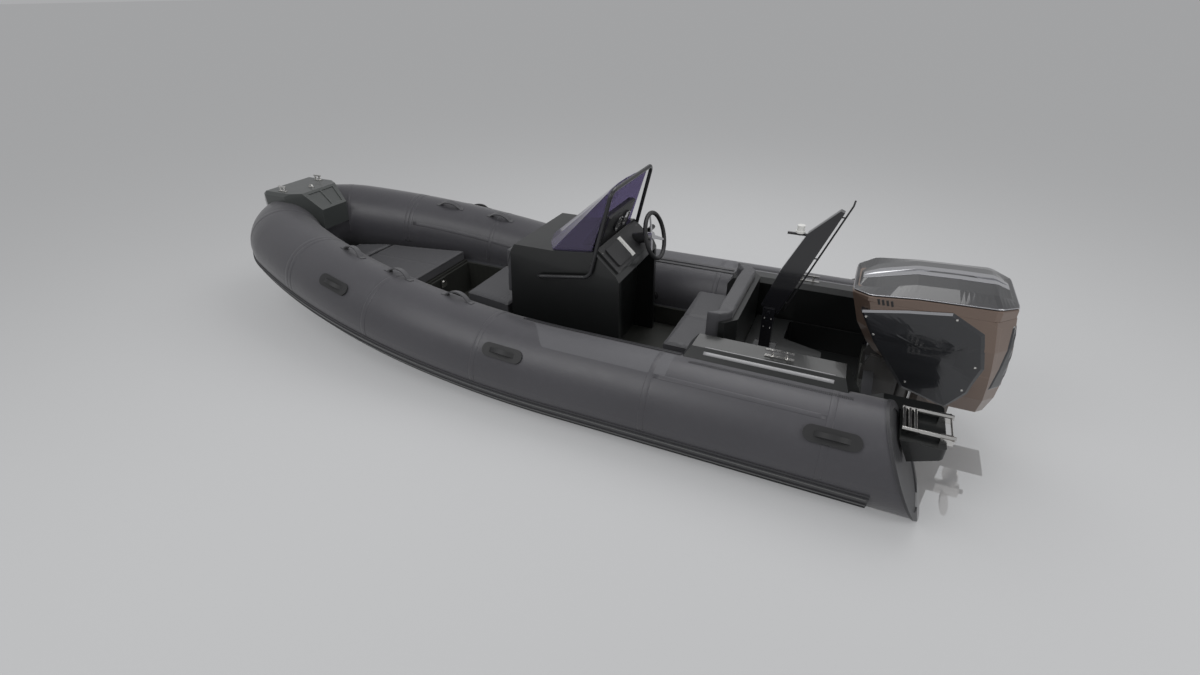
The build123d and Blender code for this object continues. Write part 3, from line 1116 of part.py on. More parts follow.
def steering_yoke():
    """Steering pin with its upper and lower arms, which grip the engine's leg."""
    top = SWIVEL_TOP_Z + SEAT_GAP
    low = SWIVEL_LOW_Z - SEAT_GAP
    fore = STEER_X + YOKE_HALF
    upper = block(LEG_FORE_X, fore, -YOKE_HALF, YOKE_HALF, top, top + YOKE_THICKNESS)
    lower = block(LEG_FORE_X, fore, -YOKE_HALF, YOKE_HALF, low - YOKE_THICKNESS, low)
    pin = rod((STEER_X, 0, low), (STEER_X, 0, top), KINGPIN_R)
    return upper + lower + pin


def leg_section(z, fore, aft, half):
    """Plan of the leg at one height: a blunt nose and a tapering tail."""
    length = fore - aft
    outline = both_halves([
        (aft, half / 3), (aft + length / 3, half), (fore - length / 6, half), (fore, half / 2),
    ])
    return make_face(Polyline(*[(x, y, z) for x, y in outline], close=True))


def midsection():
    """Engine leg from the cowl down to the plate above the propeller."""
    sections = [
        leg_section(LEG_LOW_Z, LEG_FOOT_FORE_X, LEG_FOOT_AFT_X, LEG_FOOT_HALF),
        leg_section(0, LEG_FORE_X, LEG_AFT_X, LEG_HALF),
        leg_section(LEG_TOP_Z, LEG_FORE_X, LEG_AFT_X, LEG_HALF),
    ]
    return loft(sections, ruled=True)


def gearcase():
    """Gearcase: plate, strut, torpedo and skeg."""
    plate = plan_prism(both_halves([
        (PLATE_AFT_X, PLATE_HALF), (PLATE_AFT_X / 2 + PLATE_FORE_X / 2, PLATE_HALF), (PLATE_FORE_X, LEG_FOOT_HALF / 2),
    ]), PLATE_Z, PLATE_Z + PLATE_THICKNESS - SEAT_GAP)
    strut = loft([
        leg_section(GEAR_Z, STRUT_FORE_X, STRUT_AFT_X, STRUT_HALF),
        leg_section(PLATE_Z, LEG_FOOT_FORE_X, LEG_FOOT_AFT_X, LEG_FOOT_HALF),
    ], ruled=True)
    nose = GEAR_NOSE_X - GEAR_R
    outline = make_face([
        Line((GEAR_AFT_X, 0, GEAR_Z), (GEAR_AFT_X, 0, GEAR_Z + PROP_HUB_R)),
        Line((GEAR_AFT_X, 0, GEAR_Z + PROP_HUB_R), (nose, 0, GEAR_Z + GEAR_R)),
        ThreePointArc((nose, 0, GEAR_Z + GEAR_R), (nose + GEAR_R * cos(radians(45)), 0, GEAR_Z + GEAR_R * sin(radians(45))),
                      (GEAR_NOSE_X, 0, GEAR_Z)),
        Line((GEAR_NOSE_X, 0, GEAR_Z), (GEAR_AFT_X, 0, GEAR_Z)),
    ])
    torpedo = revolve(outline, Axis((0, 0, GEAR_Z), (1, 0, 0)), 360)
    skeg = side_prism([
        (GEAR_NOSE_X - 2 * GEAR_R, GEAR_Z), (SKEG_FORE_X, SKEG_LOW_Z), (SKEG_AFT_X, SKEG_LOW_Z),
        (GEAR_AFT_X + GEAR_R / 2, GEAR_Z),
    ], -SKEG_HALF, SKEG_HALF)
    shaft_end = GEAR_AFT_X - SWING_GAP - PROP_HUB_LENGTH
    shaft = rod((GEAR_AFT_X, 0, GEAR_Z), (shaft_end, 0, GEAR_Z), PROP_SHAFT_R)
    nut = rod((shaft_end, 0, GEAR_Z), (shaft_end - PROP_NUT, 0, GEAR_Z), PROP_NUT_R)
    return plate + strut + torpedo + skeg + shaft + nut


def propeller():
    """Three-bladed propeller on its hub."""
    start = GEAR_AFT_X - SWING_GAP / 2
    hub = rod((start, 0, GEAR_Z), (start - PROP_HUB_LENGTH, 0, GEAR_Z), PROP_HUB_R)
    middle = start - PROP_HUB_LENGTH / 2
    outline = Ellipse((PROP_R - PROP_HUB_R / 2) / 2, PROP_BLADE_CHORD / 2)
    blank = extrude(outline, PROP_BLADE_THICKNESS / 2, both=True)
    blank = Pos((PROP_R + PROP_HUB_R / 2) / 2, 0, 0) * blank
    upright = Rot(0, -90, 0) * Rot(PROP_PITCH_ANGLE, 0, 0) * blank
    for index in range(PROP_BLADES):
        hub += Pos(middle, 0, GEAR_Z) * Rot(index * 360 / PROP_BLADES, 0, 0) * upright
    bore = rod((start + OVERRUN, 0, GEAR_Z), (start - PROP_HUB_LENGTH - OVERRUN, 0, GEAR_Z), PROP_SHAFT_R + PIN_GAP)
    return hub - bore


def cowl_x(share):
    """A fore-and-aft place on the cowl from its share."""
    return share * (COWL_FORE_REACH if share > 0 else COWL_AFT_REACH)


def cowl_z(share):
    """A height on the cowl from its share."""
    return COWL_LOW_Z + share * (COWL_TOP_Z - COWL_LOW_Z)


def cowl_section(level, inset=0):
    """Plan of the cowl at one level, with its corners cut off."""
    height, fore, aft, half = level
    fore, aft, half = cowl_x(fore) - inset, cowl_x(aft) + inset, half * COWL_HALF - inset
    cut = half / 3
    outline = both_halves([(aft, half - cut), (aft + cut, half), (fore - cut, half), (fore, half - cut)])
    return make_face(Polyline(*[(x, y, cowl_z(height)) for x, y in outline], close=True))


def cowl_body():
    """The whole outer form of the cowl."""
    return loft([cowl_section(level) for level in COWL_LEVEL_SHARES], ruled=True)


def panel_prism(side):
    """Space that a cowl side panel takes, on one side."""
    outline = [(cowl_x(x), cowl_z(z)) for x, z in PANEL_OUTLINE_SHARES]
    inner = COWL_HALF - PANEL_DEPTH
    return side_prism(outline, side * inner, side * (COWL_HALF + OVERRUN))


def bracket_room():
    """Space under the cowl in which the brackets stay clear as the engine steers and tilts."""
    reach = 2 * COWL_FORE_REACH
    room = block(COWL_NOTCH_AFT_X, reach, -COWL_NOTCH_HALF, COWL_NOTCH_HALF, COWL_LOW_Z - OVERRUN, COWL_NOTCH_Z)
    swing = radians(STEER_LIMIT)
    widest = (CLAMP_OUTER_Y + 2 * SWING_GAP + (reach - STEER_X) * sin(swing)) / cos(swing)
    fan = plan_prism(both_halves([(STEER_X, COWL_NOTCH_HALF), (reach, widest)]), COWL_LOW_Z - OVERRUN, COWL_SWEEP_Z)
    return room + fan


def cowl_pieces():
    """The cowl split into its frame, crown and side panels."""
    body = cowl_body()
    over = 2 * COWL_TOP_Z
    crown = body & block(-over, over, -over, over, CROWN_SPLIT_Z, over)
    rest = body - block(-over, over, -over, over, CROWN_SPLIT_Z - SEAT_GAP, over)
    panels = [rest & panel_prism(side) for side in (1, -1)]
    leg_room = block(LEG_AFT_X - SEAT_GAP, LEG_FORE_X + SEAT_GAP, -LEG_HALF - SEAT_GAP, LEG_HALF + SEAT_GAP,
                     COWL_LOW_Z - OVERRUN, LEG_TOP_Z + SEAT_GAP)
    frame = rest - panel_prism(1) - panel_prism(-1) - bracket_room() - leg_room
    return frame, crown, [panel - bracket_room() for panel in panels]


def as_solids(shape):
    """The separate solids of one sub-part."""
    shapes = shape if isinstance(shape, list) else [shape]
    return [solid for item in shapes for solid in item.solids()]


def write(name, shape):
    """One sub-part to its own STEP file."""
    solids = as_solids(shape)
    export_step(solids[0] if len(solids) == 1 else Compound(children=solids), f"parts/{name}.step")


def main():
    """Build every sub-part and write it."""
    os.makedirs("parts", exist_ok=True)
    core = tube_core()
    port, starboard, bow = collars()
    frame, crown, panels = cowl_pieces()
    coaming = stern_moulding(core)
    platform = swim_platform()
    deck_top = LOCKER_TOP_Z + LID_THICKNESS
    parts = {
        "collar_port": port,
        "collar_starboard": starboard,
        "collar_bow": bow,
        "tube_end_caps": tube_end_caps(),
        "rub_strake": rub_strake(),
        "tube_top_strips": tube_top_strips(),
        "grab_handles": grab_handles(core),
        "carry_handles": carry_handles(core),
        "tube_valves": tube_valves(core),
        "hull": hull(core),
        "hull_sides": hull_sides(core),
        "deck_liner": deck_liner(core),
        "transom": transom(core),
        "bow_step": bow_step(core),
        "bow_cleats": bow_cleats(),
        "bow_eye": bow_eye(),
        "bow_locker": bow_locker(core),
        "locker_latch": locker_latch(),
        "bow_cushion_fore": bow_cushion(LOCKER_SEAM_X, LOCKER_FORE_X, LOCKER_TOP_Z + SEAT_GAP),
        "bow_cushion_aft": bow_cushion(LOCKER_AFT_X, LOCKER_SEAM_X, deck_top + SEAT_GAP),
        "bow_lid": bow_lid(),
        "console": console(),
        "console_seat": console_seat(),
        "console_seat_cushion": console_seat_cushion(),
        "console_front_pad": console_front_pad(),
        "windscreen": windscreen(),
        "screen_rail": screen_rail(),
        "dash_panel": dash_panel(),
        "instrument_pod": instrument_pod(),
        "gauges": gauges(),
        "switch_panel": switch_panel(),
        "glovebox_door": glovebox_door(),
        "throttle_control": throttle_control(),
        "wheel_rim": wheel_rim(),
        "wheel_spokes": wheel_spokes(),
        "steering_column": steering_column(),
        "bench_base": bench_base(),
        "bench_lid": bench_lid(),
        "bench_cushion": bench_cushion(),
        "bench_backrest": bench_backrest(),
        "backrest_shell": backrest_shell(),
        "stern_moulding_port": coaming,
        "stern_moulding_starboard": mirrored(coaming),
        "stern_cleats": stern_cleats(coaming),
        "aft_deck": aft_deck(core),
        "swim_platforms": pair(platform),
        "ladder_bracket": ladder_bracket(),
        "ladder": ladder(),
        "mast_bracket": mast_bracket(),
        "mast": mast(),
        "mast_light": mast_light(),
        "clamp_bracket": clamp_bracket(),
        "swivel_bracket": swivel_bracket(),
        "steering_yoke": steering_yoke(),
        "midsection": midsection(),
        "gearcase": gearcase(),
        "propeller": propeller(),
        "cowl_frame": frame,
        "cowl_crown": crown,
        "cowl_side_panels": panels,
    }
    for name, shape in parts.items():
        write(name, shape)


main()
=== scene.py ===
"""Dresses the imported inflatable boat: finishes, cushions, seams, trim, dials and fasteners."""

import logging
from dataclasses import dataclass, field
from enum import Enum
from math import cos, pi, radians, sin, tau
from typing import Iterable, Sequence, Union

import bmesh
import bpy
from mathutils import Matrix, Vector
from mathutils.bvhtree import BVHTree


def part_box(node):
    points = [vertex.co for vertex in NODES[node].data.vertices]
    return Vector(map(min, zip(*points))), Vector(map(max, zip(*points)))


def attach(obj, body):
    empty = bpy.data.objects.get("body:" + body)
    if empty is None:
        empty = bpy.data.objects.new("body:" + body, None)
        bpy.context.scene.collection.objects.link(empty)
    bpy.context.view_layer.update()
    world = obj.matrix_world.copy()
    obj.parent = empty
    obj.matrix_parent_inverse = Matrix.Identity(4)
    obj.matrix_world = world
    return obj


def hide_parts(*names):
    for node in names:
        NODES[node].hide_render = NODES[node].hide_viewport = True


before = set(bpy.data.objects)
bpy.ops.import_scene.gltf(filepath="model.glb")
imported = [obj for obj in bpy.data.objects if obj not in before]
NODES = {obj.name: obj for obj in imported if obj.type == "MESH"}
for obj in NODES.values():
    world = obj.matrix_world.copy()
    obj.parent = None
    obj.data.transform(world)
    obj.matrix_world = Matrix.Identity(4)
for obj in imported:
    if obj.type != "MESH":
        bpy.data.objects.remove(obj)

logging.basicConfig(level=logging.INFO, format="%(message)s")
LOG = logging.getLogger("boat")
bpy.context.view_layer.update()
SIDES = (1, -1)

Colour = tuple[float, float, float]
Spot = tuple[Vector, Vector, Vector]


# Shader sums


class Wire:
    """One output socket, on which Python's sums add Math nodes."""

    def __init__(self, tree: bpy.types.NodeTree, socket: bpy.types.NodeSocket) -> None:
        """Keeps the socket and its tree."""
        self.tree = tree
        self.socket = socket

    def sum(self, operation: str, first: "Plug", second: "Plug") -> "Wire":
        """Adds one Math node.

        Args:
            operation: the node's operation.
            first: a number or a wire.
            second: a number or a wire.

        Returns:
            The node's result.
        """
        node = self.tree.nodes.new("ShaderNodeMath")
        node.operation = operation
        for value, socket in zip((first, second), node.inputs):
            plug(self.tree, value, socket)
        return Wire(self.tree, node.outputs[0])

    def __add__(self, other: "Plug") -> "Wire":
        """This plus other."""
        return self.sum("ADD", self, other)

    def __radd__(self, other: "Plug") -> "Wire":
        """Other plus this."""
        return self.sum("ADD", other, self)

    def __sub__(self, other: "Plug") -> "Wire":
        """This less other."""
        return self.sum("SUBTRACT", self, other)

    def __rsub__(self, other: "Plug") -> "Wire":
        """Other less this."""
        return self.sum("SUBTRACT", other, self)

    def __mul__(self, other: "Plug") -> "Wire":
        """This times other."""
        return self.sum("MULTIPLY", self, other)

    def __rmul__(self, other: "Plug") -> "Wire":
        """Other times this."""
        return self.sum("MULTIPLY", other, self)

    def __pow__(self, other: "Plug") -> "Wire":
        """This to the power of other."""
        return self.sum("POWER", self, other)

    def most(self, other: "Plug") -> "Wire":
        """The larger of this and other."""
        return self.sum("MAXIMUM", self, other)

    def held(self) -> "Wire":
        """This kept between nought and one."""
        return self.sum("MINIMUM", self.sum("MAXIMUM", self, 0.0), 1.0)


Plug = Union[Wire, float, Colour]


def plug(tree: bpy.types.NodeTree, value: Plug, socket: bpy.types.NodeSocket) -> None:
    """Links a wire to a socket, or sets the socket to a plain value.

    Args:
        tree: the socket's tree.
        value: a wire, a number, a colour or a vector.
        socket: the input that takes it.
    """
    if isinstance(value, Wire):
        tree.links.new(value.socket, socket)
    elif socket.type == "RGBA" and len(value) == 3:
        socket.default_value = (*value, 1.0)
    else:
        socket.default_value = value


class Coat:
    """One material's node tree, with the patterns that several finishes share."""

    def __init__(self, name: str) -> None:
        """Starts an empty material with its principled shader."""
        self.material = bpy.data.materials.new(name)
        self.material.use_nodes = True
        self.tree = self.material.node_tree
        self.tree.nodes.clear()
        self.output = self.tree.nodes.new("ShaderNodeOutputMaterial")
        self.shader = self.tree.nodes.new("ShaderNodeBsdfPrincipled")
        self.tree.links.new(self.shader.outputs[0], self.output.inputs[0])

    def node(self, kind: str, settings: dict | None = None, inputs: dict | None = None, out: int = 0) -> Wire:
        """Adds any node.

        Args:
            kind: the node's type.
            settings: its properties, set first.
            inputs: values or wires by socket name or number.
            out: which output to give back.

        Returns:
            That output.
        """
        node = self.tree.nodes.new(kind)
        for name, value in (settings or {}).items():
            setattr(node, name, value)
        for name, value in (inputs or {}).items():
            plug(self.tree, value, node.inputs[name])
        return Wire(self.tree, node.outputs[out])

    def place(self, stretch: Colour = (1.0, 1.0, 1.0), turn: Colour = (0.0, 0.0, 0.0)) -> Wire:
        """Object coordinates, stretched and turned by a Mapping node."""
        spot = self.node("ShaderNodeTexCoord", out=3)
        return self.node("ShaderNodeMapping", inputs={"Vector": spot, "Scale": stretch, "Rotation": turn})

    def noise(self, scale: float, detail: float = 3.0, stretch: Colour = (1.0, 1.0, 1.0)) -> Wire:
        """Cloudy noise over the object's own coordinates."""
        values = {"Vector": self.place(stretch), "Scale": scale, "Detail": detail}
        return self.node("ShaderNodeTexNoise", inputs=values)

    def cells(self, scale: float, stretch: Colour = (1.0, 1.0, 1.0)) -> Wire:
        """Distance to the nearest of many scattered points."""
        return self.node("ShaderNodeTexVoronoi", inputs={"Vector": self.place(stretch), "Scale": scale})

    def bands(self, scale: float, axis: str, turn: Colour = (0.0, 0.0, 0.0)) -> Wire:
        """Even bands across one axis."""
        settings = {"wave_type": "BANDS", "bands_direction": axis}
        return self.node("ShaderNodeTexWave", settings, {"Vector": self.place(turn=turn), "Scale": scale}, 1)

    def blend(self, share: Plug, first: Plug, second: Plug) -> Wire:
        """One colour laid over another by a share."""
        node = self.tree.nodes.new("ShaderNodeMix")
        node.data_type = "RGBA"
        plug(self.tree, share, node.inputs[0])
        plug(self.tree, first, node.inputs[6])
        plug(self.tree, second, node.inputs[7])
        return Wire(self.tree, node.outputs[2])

    def edges(self, reach: float, gain: float) -> Wire:
        """One on outer edges, where the finishes paint a highlight, and nought on faces."""
        rounded = self.node("ShaderNodeBevel", {"samples": 4}, {"Radius": reach})
        plain = self.node("ShaderNodeNewGeometry", out=1)
        alike = self.node("ShaderNodeVectorMath", {"operation": "DOT_PRODUCT"}, {0: rounded, 1: plain}, 1)
        return ((1.0 - alike) * gain).held()

    def bump(self, height: Wire, depth: float, strength: float = 1.0) -> Wire:
        """A normal raised by a height."""
        values = {"Height": height, "Distance": depth, "Strength": strength}
        return self.node("ShaderNodeBump", inputs=values)

    def finish(self, values: dict) -> bpy.types.Material:
        """Sets the principled shader's sockets.

        Args:
            values: wires or plain values by socket name.

        Returns:
            The finished material.
        """
        for name, value in values.items():
            plug(self.tree, value, self.shader.inputs[name])
        return self.material


def toned(colour: Colour, share: float) -> Colour:
    """A colour made lighter or darker by a share."""
    return tuple(min(part * share, 1.0) for part in colour)


# Finishes


@dataclass(frozen=True)
class Finish:
    """What every finish states."""

    slot: str
    colour: Colour
    roughness: float

    def made(self) -> bpy.types.Material:
        """Builds the material; each kind of finish has its own way."""
        raise NotImplementedError


@dataclass(frozen=True)
class CoatedFabric(Finish):
    """Rubber-coated tube cloth: fine weave, soft bloom and slow shifts of tone."""

    weave: float = 520.0
    bloom: float = 0.16

    def made(self) -> bpy.types.Material:
        """Builds the coated cloth."""
        coat = Coat(self.slot)
        cloud = coat.noise(1.3, 4.0)
        scuff = coat.noise(26.0, 6.0, (1.0, 0.4, 1.0))
        grain = coat.noise(self.weave, 2.0)
        threads = coat.bands(self.weave, "X") * coat.bands(self.weave, "Z", (0.0, 0.0, 0.4))
        tone = coat.blend(cloud, toned(self.colour, 0.86), toned(self.colour, 1.16))
        tone = coat.blend((scuff * 2.6 - 1.35).held() * 0.22, tone, toned(self.colour, 1.5))
        soft = coat.bump(threads * 0.5 + grain + scuff * 0.6, 0.0006, 0.35)
        rough = self.roughness + (scuff - 0.5) * 0.22 + (cloud - 0.5) * 0.1
        return coat.finish({
            "Base Color": tone, "Roughness": rough, "Normal": soft, "Sheen Weight": self.bloom,
            "Sheen Roughness": 0.45, "Specular IOR Level": 0.42,
        })


@dataclass(frozen=True)
class Rubber(Finish):
    """Extruded or moulded rubber: drawn lines, edges painted paler as a highlight, and a fine grain."""

    drawn: Colour = (0.4, 3.0, 3.0)
    highlight_tone: float = 1.7

    def made(self) -> bpy.types.Material:
        """Builds the rubber."""
        coat = Coat(self.slot)
        lines = coat.noise(60.0, 4.0, self.drawn)
        grain = coat.noise(420.0, 2.0)
        # Painted highlight: edges and ridges made paler, broken up by the drawn lines.
        edge_highlight_share = coat.edges(0.004, 5.0) * (0.35 + lines * 0.8)
        tone = coat.blend(lines, toned(self.colour, 0.8), toned(self.colour, 1.2))
        tone = coat.blend(edge_highlight_share.held() * 0.6, tone, toned(self.colour, self.highlight_tone))
        return coat.finish({
            "Base Color": tone, "Roughness": self.roughness + (lines - 0.5) * 0.2,
            "Normal": coat.bump(grain + lines, 0.0005, 0.4), "Specular IOR Level": 0.45,
        })


@dataclass(frozen=True)
class Webbing(Finish):
    """Ribbed strap cloth with fuzz."""

    ribs: float = 75.0

    def made(self) -> bpy.types.Material:
        """Builds the webbing."""
        coat = Coat(self.slot)
        rib = coat.bands(self.ribs, "X")
        fuzz = coat.noise(300.0, 4.0)
        tone = coat.blend(rib * 0.6 + fuzz * 0.4, toned(self.colour, 0.6), toned(self.colour, 1.3))
        return coat.finish({
            "Base Color": tone, "Roughness": self.roughness + (fuzz - 0.5) * 0.2,
            "Normal": coat.bump(rib + fuzz * 0.3, 0.0012, 0.7), "Sheen Weight": 0.2,
        })


@dataclass(frozen=True)
class Gelcoat(Finish):
    """Polished or satin moulding: clear coat, slight orange peel and a painted highlight along the edges."""

    coat_weight: float = 0.8
    peel: float = 70.0
    edge_highlight_tone: float = 2.4
    speckle: float = 0.08

    def made(self) -> bpy.types.Material:
        """Builds the moulding's finish."""
        coat = Coat(self.slot)
        cloud = coat.noise(2.2, 3.0)
        peel = coat.noise(self.peel, 2.0)
        speck = coat.noise(640.0, 1.0)
        # Painted highlight along the edges, broken up by noise.
        edge_highlight = coat.edges(0.004, 4.0) * (0.4 + coat.noise(18.0, 3.0))
        dust = (coat.noise(9.0, 6.0) * 2.0 - 0.9).held()
        tone = coat.blend(cloud, toned(self.colour, 0.85), toned(self.colour, 1.15))
        tone = coat.blend(speck * self.speckle, tone, toned(self.colour, 2.2))
        tone = coat.blend(edge_highlight.held() * 0.55, tone, toned(self.colour, self.edge_highlight_tone))
        return coat.finish({
            "Base Color": tone, "Roughness": self.roughness + dust * 0.08, "Coat Weight": self.coat_weight,
            "Coat Roughness": 0.06, "Normal": coat.bump(peel, 0.0004, 0.25), "IOR": 1.5,
        })


@dataclass(frozen=True)
class Tread(Finish):
    """Non-slip moulding: small raised diamonds in sandy gelcoat."""

    pitch: float = 42.0

    def made(self) -> bpy.types.Material:
        """Builds the tread."""
        coat = Coat(self.slot)
        slope = coat.bands(self.pitch, "X", (0.0, 0.0, pi / 4))
        cross = coat.bands(self.pitch, "Y", (0.0, 0.0, pi / 4))
        diamonds = ((slope * cross) * 2.2 - 0.5).held()
        sand = coat.noise(420.0, 3.0)
        stain = coat.noise(3.0, 5.0)
        tone = coat.blend(diamonds * 0.5 + stain * 0.4, toned(self.colour, 0.75), toned(self.colour, 1.3))
        return coat.finish({
            "Base Color": tone, "Roughness": self.roughness + (stain - 0.5) * 0.2,
            "Normal": coat.bump(diamonds + sand * 0.4, 0.0009, 0.6), "Specular IOR Level": 0.45,
        })


@dataclass(frozen=True)
class Vinyl(Finish):
    """Marine vinyl: pebbled grain, soft folds and a slight sheen on the ridges."""

    pebble: float = 240.0

    def made(self) -> bpy.types.Material:
        """Builds the vinyl."""
        coat = Coat(self.slot)
        pebbles = coat.cells(self.pebble)
        folds = coat.noise(7.0, 4.0)
        cloud = coat.noise(2.0, 3.0)
        tone = coat.blend(cloud, toned(self.colour, 0.85), toned(self.colour, 1.18))
        tone = coat.blend((1.0 - pebbles).held() * 0.25, tone, toned(self.colour, 0.7))
        return coat.finish({
            "Base Color": tone, "Roughness": self.roughness + (folds - 0.5) * 0.18 + pebbles * 0.06,
            "Normal": coat.bump(pebbles + folds * 5.0, 0.0007, 0.5), "Sheen Weight": 0.12,
        })


@dataclass(frozen=True)
class Moulded(Finish):
    """Grained plastic with a painted highlight along its edges."""

    grain: float = 330.0
    edge_highlight_tone: float = 1.8

    def made(self) -> bpy.types.Material:
        """Builds the grained plastic."""
        coat = Coat(self.slot)
        grain = coat.cells(self.grain)
        cloud = coat.noise(6.0, 4.0)
        # Painted highlight along the edges, broken up by noise.
        edge_highlight = coat.edges(0.003, 4.0) * (0.3 + cloud)
        tone = coat.blend(cloud, toned(self.colour, 0.82), toned(self.colour, 1.18))
        tone = coat.blend(edge_highlight.held() * 0.5, tone, toned(self.colour, self.edge_highlight_tone))
        return coat.finish({
            "Base Color": tone, "Roughness": self.roughness + (cloud - 0.5) * 0.16,
            "Normal": coat.bump(grain, 0.0004, 0.45),
        })


@dataclass(frozen=True)
class Metal(Finish):
    """Bright or brushed metal with fine lines, smears and duller hollows."""

    lines: Colour = (3.0, 60.0, 3.0)
    smear: float = 0.12

    def made(self) -> bpy.types.Material:
        """Builds the metal."""
        coat = Coat(self.slot)
        brushed = coat.noise(30.0, 4.0, self.lines)
        smears = coat.noise(11.0, 5.0)
        tone = coat.blend(smears, toned(self.colour, 0.86), self.colour)
        return coat.finish({
            "Base Color": tone, "Metallic": 1.0, "Normal": coat.bump(brushed, 0.0002, 0.3),
            "Roughness": self.roughness + smears * self.smear + brushed * 0.06,
        })


@dataclass(frozen=True)
class EnginePaint(Finish):
    """Metallic lacquer: flakes under a clear coat, with a painted highlight along edges and creases."""

    metal: float = 0.55
    flake: float = 0.35
    edge_highlight_tone: float = 1.6

    def made(self) -> bpy.types.Material:
        """Builds the lacquer."""
        coat = Coat(self.slot)
        flakes = (coat.cells(900.0) * 1.6).held()
        cloud = coat.noise(3.0, 3.0)
        # Painted highlight along edges and creases.
        edge_highlight = coat.edges(0.005, 4.0)
        tone = coat.blend(flakes * self.flake, self.colour, toned(self.colour, 1.9))
        tone = coat.blend(edge_highlight * 0.6, coat.blend(cloud * 0.3, tone, toned(self.colour, 0.75)),
                          toned(self.colour, self.edge_highlight_tone))
        return coat.finish({
            "Base Color": tone, "Metallic": self.metal, "Coat Weight": 0.9, "Coat Roughness": 0.05,
            "Roughness": self.roughness + (flakes - 0.5) * 0.1,
            "Normal": coat.bump(coat.noise(60.0), 0.0003, 0.2),
        })


@dataclass(frozen=True)
class Acrylic(Finish):
    """Tinted clear sheet with fine scratches and a darker cut edge."""

    tint: float = 0.82

    def made(self) -> bpy.types.Material:
        """Builds the clear sheet."""
        coat = Coat(self.slot)
        haze = coat.noise(5.0, 5.0)
        scratch = coat.noise(120.0, 4.0, (0.2, 4.0, 1.0))
        tone = coat.blend(haze, self.colour, toned(self.colour, 1.25))
        return coat.finish({
            "Base Color": tone, "Roughness": self.roughness + scratch * 0.05, "Coat Weight": 0.6,
            "Transmission Weight": self.tint, "IOR": 1.1, "Specular IOR Level": 0.8,
            "Normal": coat.bump(scratch, 0.0001, 0.15),
        })


@dataclass(frozen=True)
class BarLamp(Finish):
    """A white lens above a black bar: the bar ends at one height."""

    bar_top: float = 1.0575
    bar: Colour = (0.014, 0.014, 0.015)

    def made(self) -> bpy.types.Material:
        """Builds the two tones."""
        coat = Coat(self.slot)
        height = coat.node("ShaderNodeSeparateXYZ", inputs={0: coat.place()}, out=2)
        lens = ((height - self.bar_top) * 4000.0).held()
        cloud = coat.noise(14.0, 4.0)
        white = coat.blend(cloud, toned(self.colour, 0.88), self.colour)
        return coat.finish({
            "Base Color": coat.blend(lens, self.bar, white),
            "Roughness": self.roughness + (cloud - 0.5) * 0.1,
            "Normal": coat.bump(coat.noise(90.0), 0.0003, 0.2), "Coat Weight": 0.6,
        })


# The materials made so far, by slot
MADE: dict[str, bpy.types.Material] = {}


class Look(Enum):
    """The finishes of this boat."""

    TUBE = CoatedFabric("tube_fabric", (0.056, 0.055, 0.062), 0.36)
    PATCH = CoatedFabric("tube_patch", (0.09, 0.09, 0.098), 0.56, 260.0, 0.1)
    STRAKE = Rubber("strake_rubber", (0.036, 0.036, 0.039), 0.42, (0.15, 3.0, 3.0), 3.2)
    # Pale strips on the strake's ridges: a painted highlight.
    RIDGE_HIGHLIGHT = Rubber("strake_ridge_highlight", (0.15, 0.152, 0.148), 0.4, (0.15, 3.0, 3.0), 1.5)
    TRIM = Webbing("trim_grey", (0.06, 0.06, 0.066), 0.58)
    STRIPE = Moulded("stripe_grey", (0.3, 0.3, 0.31), 0.35, 260.0, 1.2)
    HULL = Gelcoat("gelcoat_hull", (0.045, 0.046, 0.05), 0.3)
    DECK = Tread("gelcoat_deck", (0.027, 0.028, 0.025), 0.4)
    STEP = Gelcoat("gelcoat_step", (0.038, 0.042, 0.041), 0.34, 0.4, 150.0, 4.0, 0.25)
    BLACK = Gelcoat("gelcoat_black", (0.0085, 0.0092, 0.0092), 0.3, 0.2, 60.0, 4.0)
    VINYL = Vinyl("upholstery", (0.05, 0.05, 0.055), 0.46)
    SCREEN = Acrylic("screen_tint", (0.2, 0.17, 0.3), 0.04)
    RAIL = Moulded("black_tube", (0.02, 0.02, 0.022), 0.28, 500.0, 3.0)
    MAST = Gelcoat("mast_black", (0.009, 0.009, 0.011), 0.16, 0.7, 60.0, 6.0)
    DASH = Moulded("dash_black", (0.018, 0.018, 0.019), 0.48)
    DIAL = Gelcoat("gauge_glass", (0.01, 0.01, 0.012), 0.08, 1.0, 20.0, 2.0)
    SWITCH = Moulded("switch_white", (0.62, 0.62, 0.6), 0.35, 300.0, 1.1)
    LAMP = BarLamp("light_white", (0.72, 0.72, 0.7), 0.2)
    STEEL = Metal("stainless", (0.72, 0.71, 0.69), 0.1)
    SPOKE = Metal("spoke_aluminium", (0.68, 0.68, 0.7), 0.26, (60.0, 3.0, 3.0))
    GRIP = Moulded("grip_black", (0.016, 0.016, 0.017), 0.58, 420.0)
    LEG = EnginePaint("engine_leg", (0.085, 0.072, 0.064), 0.4, 0.4)
    BRACKET = EnginePaint("bracket_grey", (0.06, 0.058, 0.056), 0.45, 0.4)
    BRONZE = EnginePaint("cowl_bronze", (0.15, 0.105, 0.082), 0.34, 0.6)
    CROWN = EnginePaint("cowl_dark", (0.016, 0.016, 0.018), 0.42, 0.1, 0.2, 7.0)
    PANEL = EnginePaint("cowl_panel", (0.018, 0.019, 0.022), 0.32, 0.4, 0.3, 4.0)
    SILVER = EnginePaint("cowl_silver", (0.42, 0.42, 0.44), 0.2, 0.85, 0.2, 1.4)
    PROPELLER = Metal("propeller_steel", (0.6, 0.57, 0.55), 0.16, (8.0, 20.0, 8.0), 0.2)

    @property
    def material(self) -> bpy.types.Material:
        """The finish's material, made once."""
        made = MADE.get(self.value.slot)
        if made is None:
            made = MADE[self.value.slot] = self.value.made()
        return made


